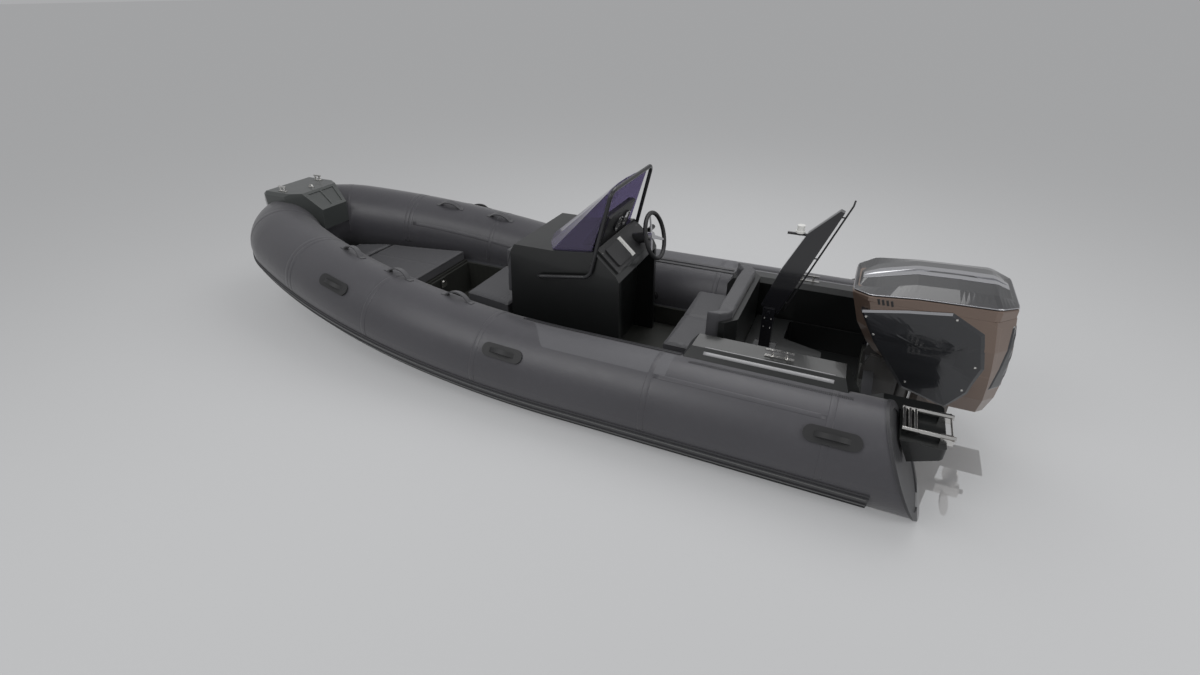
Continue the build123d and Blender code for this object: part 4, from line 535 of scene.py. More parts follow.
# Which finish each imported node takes
DRESS: dict[Look, tuple[str, ...]] = {
    Look.TUBE: ("collar_port", "collar_starboard", "collar_bow"),
    Look.STRAKE: ("rub_strake", "tube_end_caps", "tube_top_strips"),
    Look.TRIM: ("grab_handles",),
    Look.GRIP: ("carry_handles", "tube_valves", "wheel_rim", "steering_column"),
    Look.HULL: ("hull", "hull_sides", "transom"),
    Look.DECK: ("deck_liner", "bench_base", "bow_locker", "console_seat", "bow_lid", "bench_lid"),
    Look.STEP: ("bow_step",),
    Look.BLACK: ("console", "stern_moulding_port", "stern_moulding_starboard", "aft_deck", "swim_platforms",
                 "backrest_shell"),
    Look.SCREEN: ("windscreen",),
    Look.RAIL: ("screen_rail", "throttle_control"),
    Look.MAST: ("mast", "mast_bracket"),
    Look.DASH: ("dash_panel", "instrument_pod", "glovebox_door"),
    Look.DIAL: ("gauges",),
    Look.SWITCH: ("switch_panel",),
    Look.LAMP: ("mast_light",),
    Look.STEEL: ("bow_cleats", "stern_cleats", "bow_eye", "ladder", "ladder_bracket", "locker_latch"),
    Look.SPOKE: ("wheel_spokes",),
    Look.LEG: ("midsection", "gearcase"),
    Look.BRACKET: ("clamp_bracket", "swivel_bracket", "steering_yoke"),
    Look.BRONZE: ("cowl_frame", "cowl_side_panels"),
    Look.CROWN: ("cowl_crown",),
    Look.PROPELLER: ("propeller",),
}


def dress_nodes() -> None:
    """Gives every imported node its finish."""
    for look, names in DRESS.items():
        for name in names:
            slots = NODES[name].data.materials
            slots.clear()
            slots.append(look.material)
            LOG.info("node %s takes %s", name, look.value.slot)


# Making and placing pieces


def piece(name: str, look: Look, body: str, points: Iterable, faces: Iterable,
          smooth: bool = True) -> bpy.types.Object:
    """Makes one mesh piece that rides on a body.

    Args:
        name: the piece's name.
        look: its finish.
        body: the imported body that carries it.
        points: its corners, in metres, in the boat's own frame.
        faces: its faces, as numbers of corners.
        smooth: whether its faces are shaded smooth.

    Returns:
        The piece.
    """
    mesh = bpy.data.meshes.new(name)
    mesh.from_pydata([tuple(point) for point in points], [], [tuple(one) for one in faces])
    tidy_mesh(mesh, smooth)
    return carried(name, mesh, look, body)


def tidy_mesh(mesh: bpy.types.Mesh, smooth: bool) -> None:
    """Merges doubles, turns every face outward and sets the shading."""
    form = bmesh.new()
    form.from_mesh(mesh)
    bmesh.ops.remove_doubles(form, verts=form.verts, dist=1e-5)
    bmesh.ops.recalc_face_normals(form, faces=form.faces)
    for face in form.faces:
        face.smooth = smooth
    form.to_mesh(mesh)
    form.free()


def carried(name: str, mesh: bpy.types.Mesh, look: Look, body: str) -> bpy.types.Object:
    """Makes the object of a finished mesh and lets it ride on its body."""
    thing = bpy.data.objects.new(name, mesh)
    bpy.context.scene.collection.objects.link(thing)
    mesh.materials.clear()
    mesh.materials.append(look.material)
    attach(thing, body)
    LOG.info("piece %s: %d faces on %s", name, len(mesh.polygons), body)
    return thing


class Skin:
    """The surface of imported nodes, on which small pieces stand."""

    def __init__(self, *names: str) -> None:
        """Reads the nodes' faces once."""
        points: list = []
        faces: list = []
        for name in names:
            mesh = NODES[name].data
            first = len(points)
            points += [corner.co.copy() for corner in mesh.vertices]
            faces += [[first + corner for corner in face.vertices] for face in mesh.polygons]
        self.tree = BVHTree.FromPolygons(points, faces)

    def hit(self, start: Sequence[float], way: Sequence[float]) -> tuple[Vector, Vector]:
        """Where a straight look first meets the surface.

        Args:
            start: where the look starts.
            way: its direction.

        Returns:
            The point and the surface's normal there, turned towards the start.
        """
        way = Vector(way).normalized()
        point, normal, _, _ = self.tree.ray_cast(Vector(start), way)
        if point is None:
            point, normal, _, _ = self.tree.find_nearest(Vector(start))
        return point, -normal if normal.dot(way) > 0 else normal


def swept(rings: Sequence[Sequence[Vector]], closed: bool = False) -> tuple[list, list]:
    """Corners and faces of a skin run through equal rings.

    Args:
        rings: closed rings of as many points each.
        closed: whether the last ring joins the first.

    Returns:
        The corners and the faces, with both ends closed unless the run is.
    """
    count = len(rings[0])
    points = [point for ring in rings for point in ring]
    faces = []
    steps = len(rings) if closed else len(rings) - 1
    for row in range(steps):
        here, there = row * count, (row + 1) % len(rings) * count
        for spot in range(count):
            after = (spot + 1) % count
            faces.append((here + spot, here + after, there + after, there + spot))
    if not closed:
        faces.append(tuple(range(count)))
        faces.append(tuple(reversed(range(len(points) - count, len(points)))))
    return points, faces


def joined(parts: Iterable[tuple[list, list]]) -> tuple[list, list]:
    """Several corners-and-faces as one."""
    points: list = []
    faces: list = []
    for corners, sides in parts:
        first = len(points)
        points += list(corners)
        faces += [tuple(first + corner for corner in side) for side in sides]
    return points, faces


def grid_faces(rows: int, columns: int) -> list[tuple]:
    """The faces between rows of corners, each with one corner more than there are columns."""
    wide = columns + 1
    starts = [wide * row + column for row in range(rows) for column in range(columns)]
    return [(start, start + 1, start + wide + 1, start + wide) for start in starts]


# How nearly a bar may run along its guide before it takes a new one
STEEPEST = 0.98


def hosed(line: Sequence[Vector], radius: float, closed: bool = False, sides: int = 8) -> tuple[list, list]:
    """A round bar along a line of points.

    Args:
        line: the points, in order.
        radius: the bar's radius.
        closed: whether the line is a loop.
        sides: corners round the bar.

    Returns:
        The corners and faces.
    """
    rings = []
    count = len(line)
    normal = Vector((0.0, 0.0, 1.0))
    for spot, point in enumerate(line):
        before = line[spot - 1] if closed or spot else point
        after = line[(spot + 1) % count] if closed or spot < count - 1 else point
        run = (after - before).normalized()
        steep = abs(normal.dot(run)) >= STEEPEST
        normal = (run.orthogonal() if steep else normal - run * normal.dot(run)).normalized()
        across = run.cross(normal)
        rings.append([
            point + (normal * cos(tau * turn / sides) + across * sin(tau * turn / sides)) * radius
            for turn in range(sides)
        ])
    return swept(rings, closed)


class Scatter:
    """Geometry Nodes that stand one small shape on many marked points."""

    def __init__(self) -> None:
        """Builds the tree, with inputs for the shape, its size and its finish."""
        self.tree = bpy.data.node_groups.new("stand_on_points", "GeometryNodeTree")
        ports = self.tree.interface
        ports.new_socket("Geometry", in_out="INPUT", socket_type="NodeSocketGeometry")
        self.shape = ports.new_socket("Shape", in_out="INPUT", socket_type="NodeSocketObject")
        self.size = ports.new_socket("Size", in_out="INPUT", socket_type="NodeSocketFloat")
        self.finish = ports.new_socket("Finish", in_out="INPUT", socket_type="NodeSocketMaterial")
        ports.new_socket("Geometry", in_out="OUTPUT", socket_type="NodeSocketGeometry")
        given, points = self.add("NodeGroupInput"), self.add("GeometryNodeMeshToPoints")
        shape, placed = self.add("GeometryNodeObjectInfo"), self.add("GeometryNodeInstanceOnPoints")
        stood, run = (self.add("FunctionNodeAlignRotationToVector") for _ in range(2))
        real, dressed = self.add("GeometryNodeRealizeInstances"), self.add("GeometryNodeSetMaterial")
        end = self.add("NodeGroupOutput")
        stood.axis, run.axis, run.pivot_axis = "Z", "X", "Z"
        link = self.tree.links.new
        link(given.outputs["Geometry"], points.inputs["Mesh"])
        link(given.outputs["Shape"], shape.inputs["Object"])
        link(self.marked("out"), stood.inputs["Vector"])
        link(stood.outputs["Rotation"], run.inputs["Rotation"])
        link(self.marked("along"), run.inputs["Vector"])
        link(points.outputs["Points"], placed.inputs["Points"])
        link(shape.outputs["Geometry"], placed.inputs["Instance"])
        link(run.outputs["Rotation"], placed.inputs["Rotation"])
        link(given.outputs["Size"], placed.inputs["Scale"])
        link(placed.outputs["Instances"], real.inputs["Geometry"])
        link(real.outputs["Geometry"], dressed.inputs["Geometry"])
        link(given.outputs["Finish"], dressed.inputs["Material"])
        link(dressed.outputs["Geometry"], end.inputs["Geometry"])

    def add(self, kind: str) -> bpy.types.Node:
        """Adds one node to the tree."""
        return self.tree.nodes.new(kind)

    def marked(self, name: str) -> bpy.types.NodeSocket:
        """Reads a vector that is stored on the points."""
        node = self.add("GeometryNodeInputNamedAttribute")
        node.data_type = "FLOAT_VECTOR"
        node.inputs["Name"].default_value = name
        return node.outputs["Attribute"]

    def stand(self, name: str, shape: tuple[list, list], spots: Sequence[Spot], look: Look, body: str,
              size: float = 1.0) -> bpy.types.Object:
        """Stands a shape on every spot and bakes the result to one plain mesh.

        Args:
            name: the piece's name.
            shape: corners and faces, with Z standing out of the surface and X along it.
            spots: a point, an outward direction and a direction along the surface for each.
            look: the finish.
            body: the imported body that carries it.
            size: the shape's scale.

        Returns:
            The piece.
        """
        model = bpy.data.objects.new(name + "_model", bpy.data.meshes.new(name + "_model"))
        model.data.from_pydata([tuple(point) for point in shape[0]], [], shape[1])
        tidy_mesh(model.data, False)
        marks = bpy.data.meshes.new(name + "_marks")
        marks.from_pydata([tuple(spot[0]) for spot in spots], [], [])
        for number, word in ((1, "out"), (2, "along")):
            data = marks.attributes.new(word, "FLOAT_VECTOR", "POINT").data
            data.foreach_set("vector", [part for spot in spots for part in spot[number]])
        holder = bpy.data.objects.new(name + "_marks", marks)
        for thing in (model, holder):
            bpy.context.scene.collection.objects.link(thing)
        modifier = holder.modifiers.new("stand", "NODES")
        modifier.node_group = self.tree
        for port, value in ((self.shape, model), (self.size, size), (self.finish, look.material)):
            modifier[port.identifier] = value
        depsgraph = bpy.context.evaluated_depsgraph_get()
        mesh = bpy.data.meshes.new_from_object(holder.evaluated_get(depsgraph))
        mesh.name = name
        holder.modifiers.remove(modifier)
        for thing in (model, holder):
            bpy.data.objects.remove(thing)
        return carried(name, mesh, look, body)


def turned_shape(profile: Sequence[tuple[float, float]], sides: int = 14) -> tuple[list, list]:
    """A turned solid about Z from (radius, height) points, closed at both ends."""
    ways = [(cos(tau * turn / sides), sin(tau * turn / sides)) for turn in range(sides)]
    rings = [
        [Vector((max(radius, 1e-4) * along, max(radius, 1e-4) * across, height)) for along, across in ways]
        for radius, height in profile
    ]
    return swept(rings)


def slab_shape(length: float, width: float, low: float, high: float, chamfer: float) -> tuple[list, list]:
    """A small flat bar along X with chamfered corners and edges."""
    def ring(height: float, inset: float) -> list[Vector]:
        """One level of the bar."""
        long, wide, cut = length / 2 - inset, width / 2 - inset, chamfer
        corners = [(long, wide - cut), (long - cut, wide), (cut - long, wide), (-long, wide - cut),
                   (-long, cut - wide), (cut - long, -wide), (long - cut, -wide), (long, cut - wide)]
        return [Vector((x, y, height)) for x, y in corners]
    lip = min(chamfer, (high - low) / 2)
    return swept([ring(low, 0.0), ring(high - lip, 0.0), ring(high, lip)])


SCREW = turned_shape([(4.2e-3, -1e-3), (4.4e-3, 0.4e-3), (4.0e-3, 1.3e-3), (2.8e-3, 1.9e-3), (2.0e-3, 2.0e-3),
                      (1.7e-3, 0.8e-3), (0.2e-3, 0.7e-3)])
STITCH = slab_shape(6.5e-3, 1.6e-3, -0.6e-3, 0.9e-3, 0.5e-3)


# The tubes


@dataclass(frozen=True)
class TubeLine:
    """The port tube's centreline: straight, then up with the sheer, then round the bow."""

    radius: float = 0.27
    half_beam: float = 0.70
    height: float = 0.23
    aft: float = -0.42
    spans: tuple = (
        (2.12, 0.0, False), (0.90060, 6.41, True), (1.71042, 4.9, False), (0.52590, 0.43045, False),
    )

    def frame(self, travel: float) -> tuple[Vector, Vector, Vector, Vector]:
        """The tube's centre, outboard, up and forward directions at a distance from its aft end."""
        centre = Vector((self.aft, self.half_beam, self.height))
        out, up, ahead = Vector((0, 1, 0)), Vector((0, 0, 1)), Vector((1, 0, 0))
        for length, bend, rises in self.spans:
            step = min(travel, length)
            travel -= step
            if not bend:
                centre = centre + ahead * step
                continue
            turn = step / bend
            toward = up if rises else -out
            centre = centre + ahead * (bend * sin(turn)) + toward * (bend * (1 - cos(turn)))
            new_ahead = ahead * cos(turn) + toward * sin(turn)
            if rises:
                up = up * cos(turn) - ahead * sin(turn)
            else:
                out = out * cos(turn) + ahead * sin(turn)
            ahead = new_ahead
        return centre, out, up, ahead

    def skin(self, travel: float, angle: float, lift: float, side: int) -> Vector:
        """A point over the tube's skin.

        Args:
            travel: distance from the tube's aft end.
            angle: degrees from outboard over the top.
            lift: height above the skin.
            side: 1 for port, -1 for starboard.

        Returns:
            The point in the boat's frame.
        """
        centre, out, up, _ = self.frame(travel)
        way = out * cos(radians(angle)) + up * sin(radians(angle))
        point = centre + way * (self.radius + lift)
        return Vector((point.x, point.y * side, point.z))


@dataclass
class TubeSeams:
    """Seam tapes, the non-slip patches and the doubled welts on the tubes."""

    line: TubeLine = field(default_factory=TubeLine)
    tape: float = 0.034
    rise: float = 0.0011
    rings: tuple[float, ...] = (0.60, 1.52, 2.62, 3.46, 4.227, 4.262, 4.86)
    low: float = -10.0
    high: float = 188.0
    ring_steps: int = 66
    tape_shares: tuple = ((-1, -1), (-1, 0.35), (-0.8, 1), (0.8, 1), (1, 0.35), (1, -1))
    highlight_start: float = 0.37
    highlight_end: float = 5.2565
    patch_aft: float = 1.44
    patch_fore: float = 2.36
    patch_cut: float = 0.16

    def ring(self, travel: float, side: int) -> tuple[list, list]:
        """One tape round the tube."""
        profile = self.section(self.tape / 2)
        rings = []
        for step in range(self.ring_steps + 1):
            angle = self.low + (self.high - self.low) * step / self.ring_steps
            rings.append([self.line.skin(travel + run, angle, lift, side) for run, lift in profile])
        return swept(rings)

    def section(self, half: float) -> list[tuple[float, float]]:
        """A tape's section: thin, with chamfered edges."""
        return [(across * half, up * self.rise) for across, up in self.tape_shares]

    def lengthwise(self, start: float, end: float, angle: float, profile: Sequence, steps: int,
                   side: int) -> tuple[list, list]:
        """A section run along the tube.

        Args:
            start: distance from the tube's aft end at which it starts.
            end: distance at which it ends.
            angle: degrees from outboard over the top.
            profile: the section, as degrees round the tube and heights above its skin.
            steps: number of steps along it.
            side: 1 for port, -1 for starboard.

        Returns:
            The corners and faces.
        """
        rings = []
        for step in range(steps + 1):
            travel = start + (end - start) * step / steps
            rings.append([self.line.skin(travel, angle + turn, lift, side) for turn, lift in profile])
        return swept(rings)

    def strip(self, start: float, end: float, angle: float, width: float, side: int) -> tuple[list, list]:
        """One tape along the tube."""
        spread = width / self.line.radius * 90 / pi
        steps = max(8, int((end - start) / 0.04))
        return self.lengthwise(start, end, angle, self.section(spread), steps, side)

    def ridge(self, angle: float, side: int) -> tuple[list, list]:
        """A pale strip along one ridge of the strake: a painted highlight."""
        profile = ((-0.7, 0.0118), (-0.45, 0.0136), (0.45, 0.0136), (0.7, 0.0118))
        return self.lengthwise(self.highlight_start, self.highlight_end, angle, profile, 150, side)

    def patch(self, side: int) -> tuple[list, list]:
        """The non-slip patch on top, with its corner cut at the fore end."""
        rows, columns = 60, 26
        points = []
        for row in range(rows + 1):
            for column in range(columns + 1):
                across = column / columns
                angle = 62 + 42 * across
                fore = self.patch_fore - self.patch_cut * (1 - across)
                travel = self.patch_aft + (fore - self.patch_aft) * row / rows
                edge = min(row, rows - row, column * 2, (columns - column) * 2)
                points.append(self.line.skin(travel, angle, 0.0012 * min(edge, 1) - 0.0002, side))
        return points, grid_faces(rows, columns)

    def build(self) -> None:
        """Makes the tapes and patches of both tubes."""
        rings = [self.ring(travel, side) for travel in self.rings for side in SIDES]
        piece("tube_seam_rings", Look.TUBE, "boat", *joined(rings))
        runs = [self.strip(2.62, 4.2, 152, 0.03, side) for side in SIDES]
        runs += [self.strip(0.62, 1.5, 60, 0.026, side) for side in SIDES]
        piece("tube_seam_runs", Look.TUBE, "boat", *joined(runs))
        # Pale strips along the strake ridges: painted highlights.
        lines = [self.ridge(angle, side) for angle in (-44, -31, -18) for side in SIDES]
        piece("strake_lines", Look.RIDGE_HIGHLIGHT, "boat", *joined(lines))
        for side, word in zip(SIDES, ("port", "starboard")):
            piece(f"tube_patch_{word}", Look.PATCH, "boat", *self.patch(side))


# Cushions


@dataclass
class Pad:
    """One cushion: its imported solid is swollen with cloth, then welted and stitched."""

    node: str
    body: str = "boat"
    swell: float = 0.010
    shrink: float = 0.006
    voxel: float = 0.010
    fill: float = 0.7
    lift: Vector = field(default_factory=lambda: Vector((0, 0, 1)))
    seams: tuple = ()
    welt_drop: float = 0.016

    def start(self) -> bpy.types.Object:
        """A slightly smaller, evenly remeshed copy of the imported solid."""
        form = bmesh.new()
        form.from_mesh(NODES[self.node].data)
        bmesh.ops.remove_doubles(form, verts=form.verts, dist=1e-5)
        form.normal_update()
        for corner in form.verts:
            corner.co -= corner.normal * self.shrink
        mesh = bpy.data.meshes.new(self.node + "_pad")
        form.to_mesh(mesh)
        form.free()
        pad = bpy.data.objects.new(self.node + "_pad", mesh)
        bpy.context.scene.collection.objects.link(pad)
        remesh = pad.modifiers.new("even", "REMESH")
        remesh.mode = "VOXEL"
        remesh.voxel_size = self.voxel
        self.settle(pad)
        return pad

    def settle(self, pad: bpy.types.Object) -> None:
        """Turns the pad's modifiers into its mesh."""
        depsgraph = bpy.context.evaluated_depsgraph_get()
        mesh = bpy.data.meshes.new_from_object(pad.evaluated_get(depsgraph))
        pad.modifiers.clear()
        pad.data = mesh

    def swollen(self, pad: bpy.types.Object) -> None:
        """Blows the pad up with cloth, keeping every point near its start and inside the solid's box."""
        rest = [corner.co.copy() for corner in pad.data.vertices]
        cloth = pad.modifiers.new("swell", "CLOTH").settings
        cloth.use_pressure = True
        cloth.uniform_pressure_force = 4.0
        cloth.effector_weights.gravity = 0.0
        cloth.tension_stiffness = 25.0
        cloth.bending_stiffness = 4.0
        cloth.quality = 4
        for step in range(1, 21):
            bpy.context.scene.frame_set(step)
        self.settle(pad)
        bpy.context.scene.frame_set(1)
        low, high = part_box(self.node)
        for corner, was in zip(pad.data.vertices, rest):
            move = corner.co - was
            if move.length > self.swell:
                move *= self.swell / move.length
            place = was + move
            for axis in range(3):
                allowed = 0.004 if self.lift[axis] else 0.0
                place[axis] = min(max(place[axis], low[axis]), high[axis] + allowed)
            corner.co = place

    def grooved(self, pad: bpy.types.Object) -> None:
        """Presses the sewn channels in."""
        for start, end in self.seams:
            start, end = Vector(start), Vector(end)
            run = end - start
            for corner in pad.data.vertices:
                share = max(0.0, min(1.0, (corner.co - start).dot(run) / run.length_squared))
                away = corner.co - (start + run * share)
                away -= self.lift * away.dot(self.lift)
                reach = away.length / 0.012
                facing = max(0.0, corner.normal.dot(self.lift))
                corner.co -= self.lift * (0.007 * facing * (2.718 ** -(reach * reach)))

    def welt(self, pad: bpy.types.Object) -> list[Vector]:
        """The line where a plane near the top face cuts the pad."""
        top = max(corner.co.dot(self.lift) for corner in pad.data.vertices)
        form = bmesh.new()
        form.from_mesh(pad.data)
        every = form.verts[:] + form.edges[:] + form.faces[:]
        cut = bmesh.ops.bisect_plane(
            form, geom=every, plane_co=self.lift * (top - self.welt_drop), plane_no=self.lift
        )["geom_cut"]
        edges = [part for part in cut if isinstance(part, bmesh.types.BMEdge)]
        links: dict = {}
        for edge in edges:
            for one, other in (edge.verts, reversed(edge.verts)):
                links.setdefault(one, []).append(other)
        line = []
        if links:
            here = min(links, key=lambda corner: (round(corner.co.x, 4), round(corner.co.y, 4)))
            last = None
            while here is not None and len(line) < len(links):
                line.append(here.co.copy())
                ahead = [corner for corner in links[here] if corner is not last]
                last, here = here, ahead[0] if ahead else None
                if here is not None and (here.co - line[0]).length < 1e-6:
                    break
        form.free()
        for _ in range(4):
            after = line[1:] + line[:1]
            line = [(line[spot - 1] + line[spot] * 2 + after[spot]) / 4 for spot in range(len(line))]
        return line[::2]

    def build(self, scatter: Scatter) -> None:
        """Makes the cushion with its piping and stitches.

        Args:
            scatter: the tree that stands the stitches.
        """
        pad = self.start()
        self.swollen(pad)
        self.grooved(pad)
        smooth = pad.modifiers.new("round", "SUBSURF")
        smooth.levels = smooth.render_levels = 1
        self.settle(pad)
        mesh = pad.data
        for face in mesh.polygons:
            face.use_smooth = True
        bpy.data.objects.remove(pad)
        cushion = carried(self.node + "_pad", mesh, Look.VINYL, self.body)
        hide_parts(self.node)
        line = self.welt(cushion)
        piece(self.node + "_piping", Look.VINYL, self.body, *hosed(line, 0.0032, True))
        centre = sum(line, Vector()) / len(line)
        count = len(line)
        spots = []
        for spot in range(count):
            run = (line[(spot + 1) % count] - line[spot - 1]).normalized()
            out = run.cross(self.lift).normalized()
            out = out if out.dot(line[spot] - centre) > 0 else -out
            inside = line[spot] - self.lift * 0.011
            spots.append((inside + out * 0.0005, out, run))
        scatter.stand(self.node + "_stitches", STITCH, spots, Look.TRIM, self.body)


PADS = (
    Pad("bow_cushion_fore"),
    Pad("bow_cushion_aft", "bow_hatch", seams=(((3.22, 0.0, 0.398), (3.82, 0.0, 0.398)),)),
    Pad("console_seat_cushion", seams=(((2.42, -0.25, 0.38), (2.42, 0.25, 0.38)),)),
    Pad("console_front_pad", lift=Vector((0.94, 0, 0.34)).normalized(), shrink=0.004, swell=0.008,
        voxel=0.009, welt_drop=0.03),
    Pad("bench_cushion", "bench_hatch", seams=(((0.95, 0.0, 0.4), (1.19, 0.0, 0.4)),)),
    Pad("bench_backrest", lift=Vector((1, 0, 0)), voxel=0.009, welt_drop=0.02),
)


# Fittings


@dataclass
class Fittings:
    """Screws, the dials, the stripes on the coamings and the ribs beside them."""

    scatter: Scatter
    track_steps: int = 14
    track_low: float = 0.56
    track_high: float = 1.22
    track_gap: float = 0.020
    track_over: float = 0.040
    track_wide: float = 0.005
    dial_places: tuple = ((1.3349, -0.098, 0.84771), (1.3349, 0.02, 0.84771))
    dial_look: tuple = (0.9328, 0.0, 0.3604)
    dial_ticks: int = 20
    stripe_lines: tuple = ((0.586, 0.602), (0.560, 0.5655))
    rib_y: float = 0.682
    above: float = 0.9
    down: tuple = (0, 0, -1)

    def screws(self, name: str, body: str, nodes: tuple[str, ...], looks: Sequence[tuple],
               size: float = 1.0) -> None:
        """Stands screws where straight looks meet the nodes.

        Args:
            name: the piece's name.
            body: the body that carries them.
            nodes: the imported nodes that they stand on.
            looks: a start and a direction for each screw.
            size: the screws' scale.
        """
        skin = Skin(*nodes)
        spots = []
        for start, way in looks:
            point, normal = skin.hit(start, way)
            spots.append((point, normal, normal.orthogonal().normalized()))
        self.scatter.stand(name, SCREW, spots, Look.STEEL, body, size)

    def dials(self) -> None:
        """Marks and needles on the two gauges."""
        skin = Skin("gauges")
        marks: list[Spot] = []
        needles = []
        side = Vector((0, 1, 0))
        for start in self.dial_places:
            point, normal = skin.hit(start, self.dial_look)
            over = normal.cross(side).normalized()
            for tick in range(self.dial_ticks + 1):
                angle = radians(-135 + 270 * tick / self.dial_ticks) + pi / 2
                way = side * cos(angle) + over * sin(angle)
                reach = 0.037 if tick % 5 else 0.035
                marks.append((point + way * reach + normal * 0.0003, normal, way))
            tip = side * cos(2.4) + over * sin(2.4)
            pivot = point + normal * 0.002
            needles.append(hosed([pivot - tip * 0.008, pivot + tip * 0.034], 0.0009))
        mark = slab_shape(6e-3, 1.3e-3, -2e-4, 5e-4, 2e-4)
        self.scatter.stand("dial_marks", mark, marks, Look.SWITCH, "boat")
        piece("dial_needles", Look.SWITCH, "boat", *joined(needles))

    def stripes(self) -> None:
        """Pale stripes along both coamings, and the ribbed strip on the tube beside each."""
        for side, word in zip(SIDES, ("port", "starboard")):
            skin = Skin(f"stern_moulding_{word}")
            for number, (y0, y1) in enumerate(self.stripe_lines):
                rings = []
                for x in self.stations(0.2, 0.88, 28):
                    places = [(x, y * side, self.above) for y in (y0, (y0 + y1) / 2, y1)]
                    hits = [skin.hit(place, self.down) for place in places]
                    top = [point + normal * 0.0009 for point, normal in hits]
                    under = [point - normal * 0.0006 for point, normal in reversed(hits)]
                    rings.append(top + under)
                piece(f"coaming_stripe_{word}_{number + 1}", Look.STRIPE, "boat", *swept(rings))
            tube = Skin(f"collar_{word}")
            spots = []
            for x in self.stations(0.10, 0.93, 84):
                point, normal = tube.hit((x, self.rib_y * side, self.above), self.down)
                spots.append((point, normal, Vector((0, 1, 0)).cross(normal).cross(normal).normalized()))
            shape = slab_shape(0.022, 0.0055, -0.002, 0.0035, 0.0012)
            self.scatter.stand(f"edge_ribs_{word}", shape, spots, Look.STRAKE, "boat")

    @staticmethod
    def stations(start: float, end: float, count: int) -> list[float]:
        """Evenly spaced places between two ends."""
        return [start + (end - start) * step / count for step in range(count + 1)]

    def mast_track(self) -> None:
        """A thin track on stand-offs along the mast's after edge, with a hooked upper end."""
        skin = Skin("mast")
        line = []
        for step in range(self.track_steps):
            z = self.track_low + (self.track_high - self.track_low) * step / (self.track_steps - 1)
            point = skin.hit((-1.5, 0, z), (1, 0, 0))[0]
            line.append(point + Vector((-self.track_gap, 0, 0)))
        feet = [line[number] for number in (1, self.track_steps // 2, self.track_steps - 2)]
        tip = line[-1] + (line[-1] - line[-2]).normalized() * self.track_over
        line += [tip, tip + Vector((-0.004, 0, 0.030))]
        reach = Vector((self.track_gap + 0.006, 0, 0))
        bars = [hosed(line, self.track_wide)]
        bars += [hosed([foot, foot + reach], self.track_wide * 0.8) for foot in feet]
        piece("mast_track", Look.RAIL, "mast", *joined(bars))

    def build(self) -> None:
        """Makes every small fitting of the hull, console and mast."""
        bow = [((x, y, 1.2), self.down) for x in (4.472, 4.528) for y in (-0.175, 0.175)]
        self.screws("bow_screws", "boat", ("bow_step", "bow_cleats"), bow)
        stern = [((x, y, 1.2), self.down) for x in (0.452, 0.528) for y in (-0.52, 0.52)]
        mouldings = ("stern_moulding_port", "stern_moulding_starboard", "stern_cleats")
        self.screws("stern_screws", "boat", mouldings, stern)
        holes = [(x, z) for x in (-0.02, 0.02) for z in (0.44, 0.5)]
        foot = [((0.64 + x, y * 0.3, z), (0, -y, 0)) for x, z in holes for y in SIDES]
        self.screws("mast_screws", "boat", ("mast_bracket",), foot, size=1.3)
        self.mast_track()
        dash = [((1.2, y, z), (1, 0, 0)) for y in (-0.26, 0.275) for z in (0.73, 0.86)]
        self.screws("dash_screws", "boat", ("dash_panel",), dash, size=0.8)
        self.dials()
        self.stripes()


# The outboard


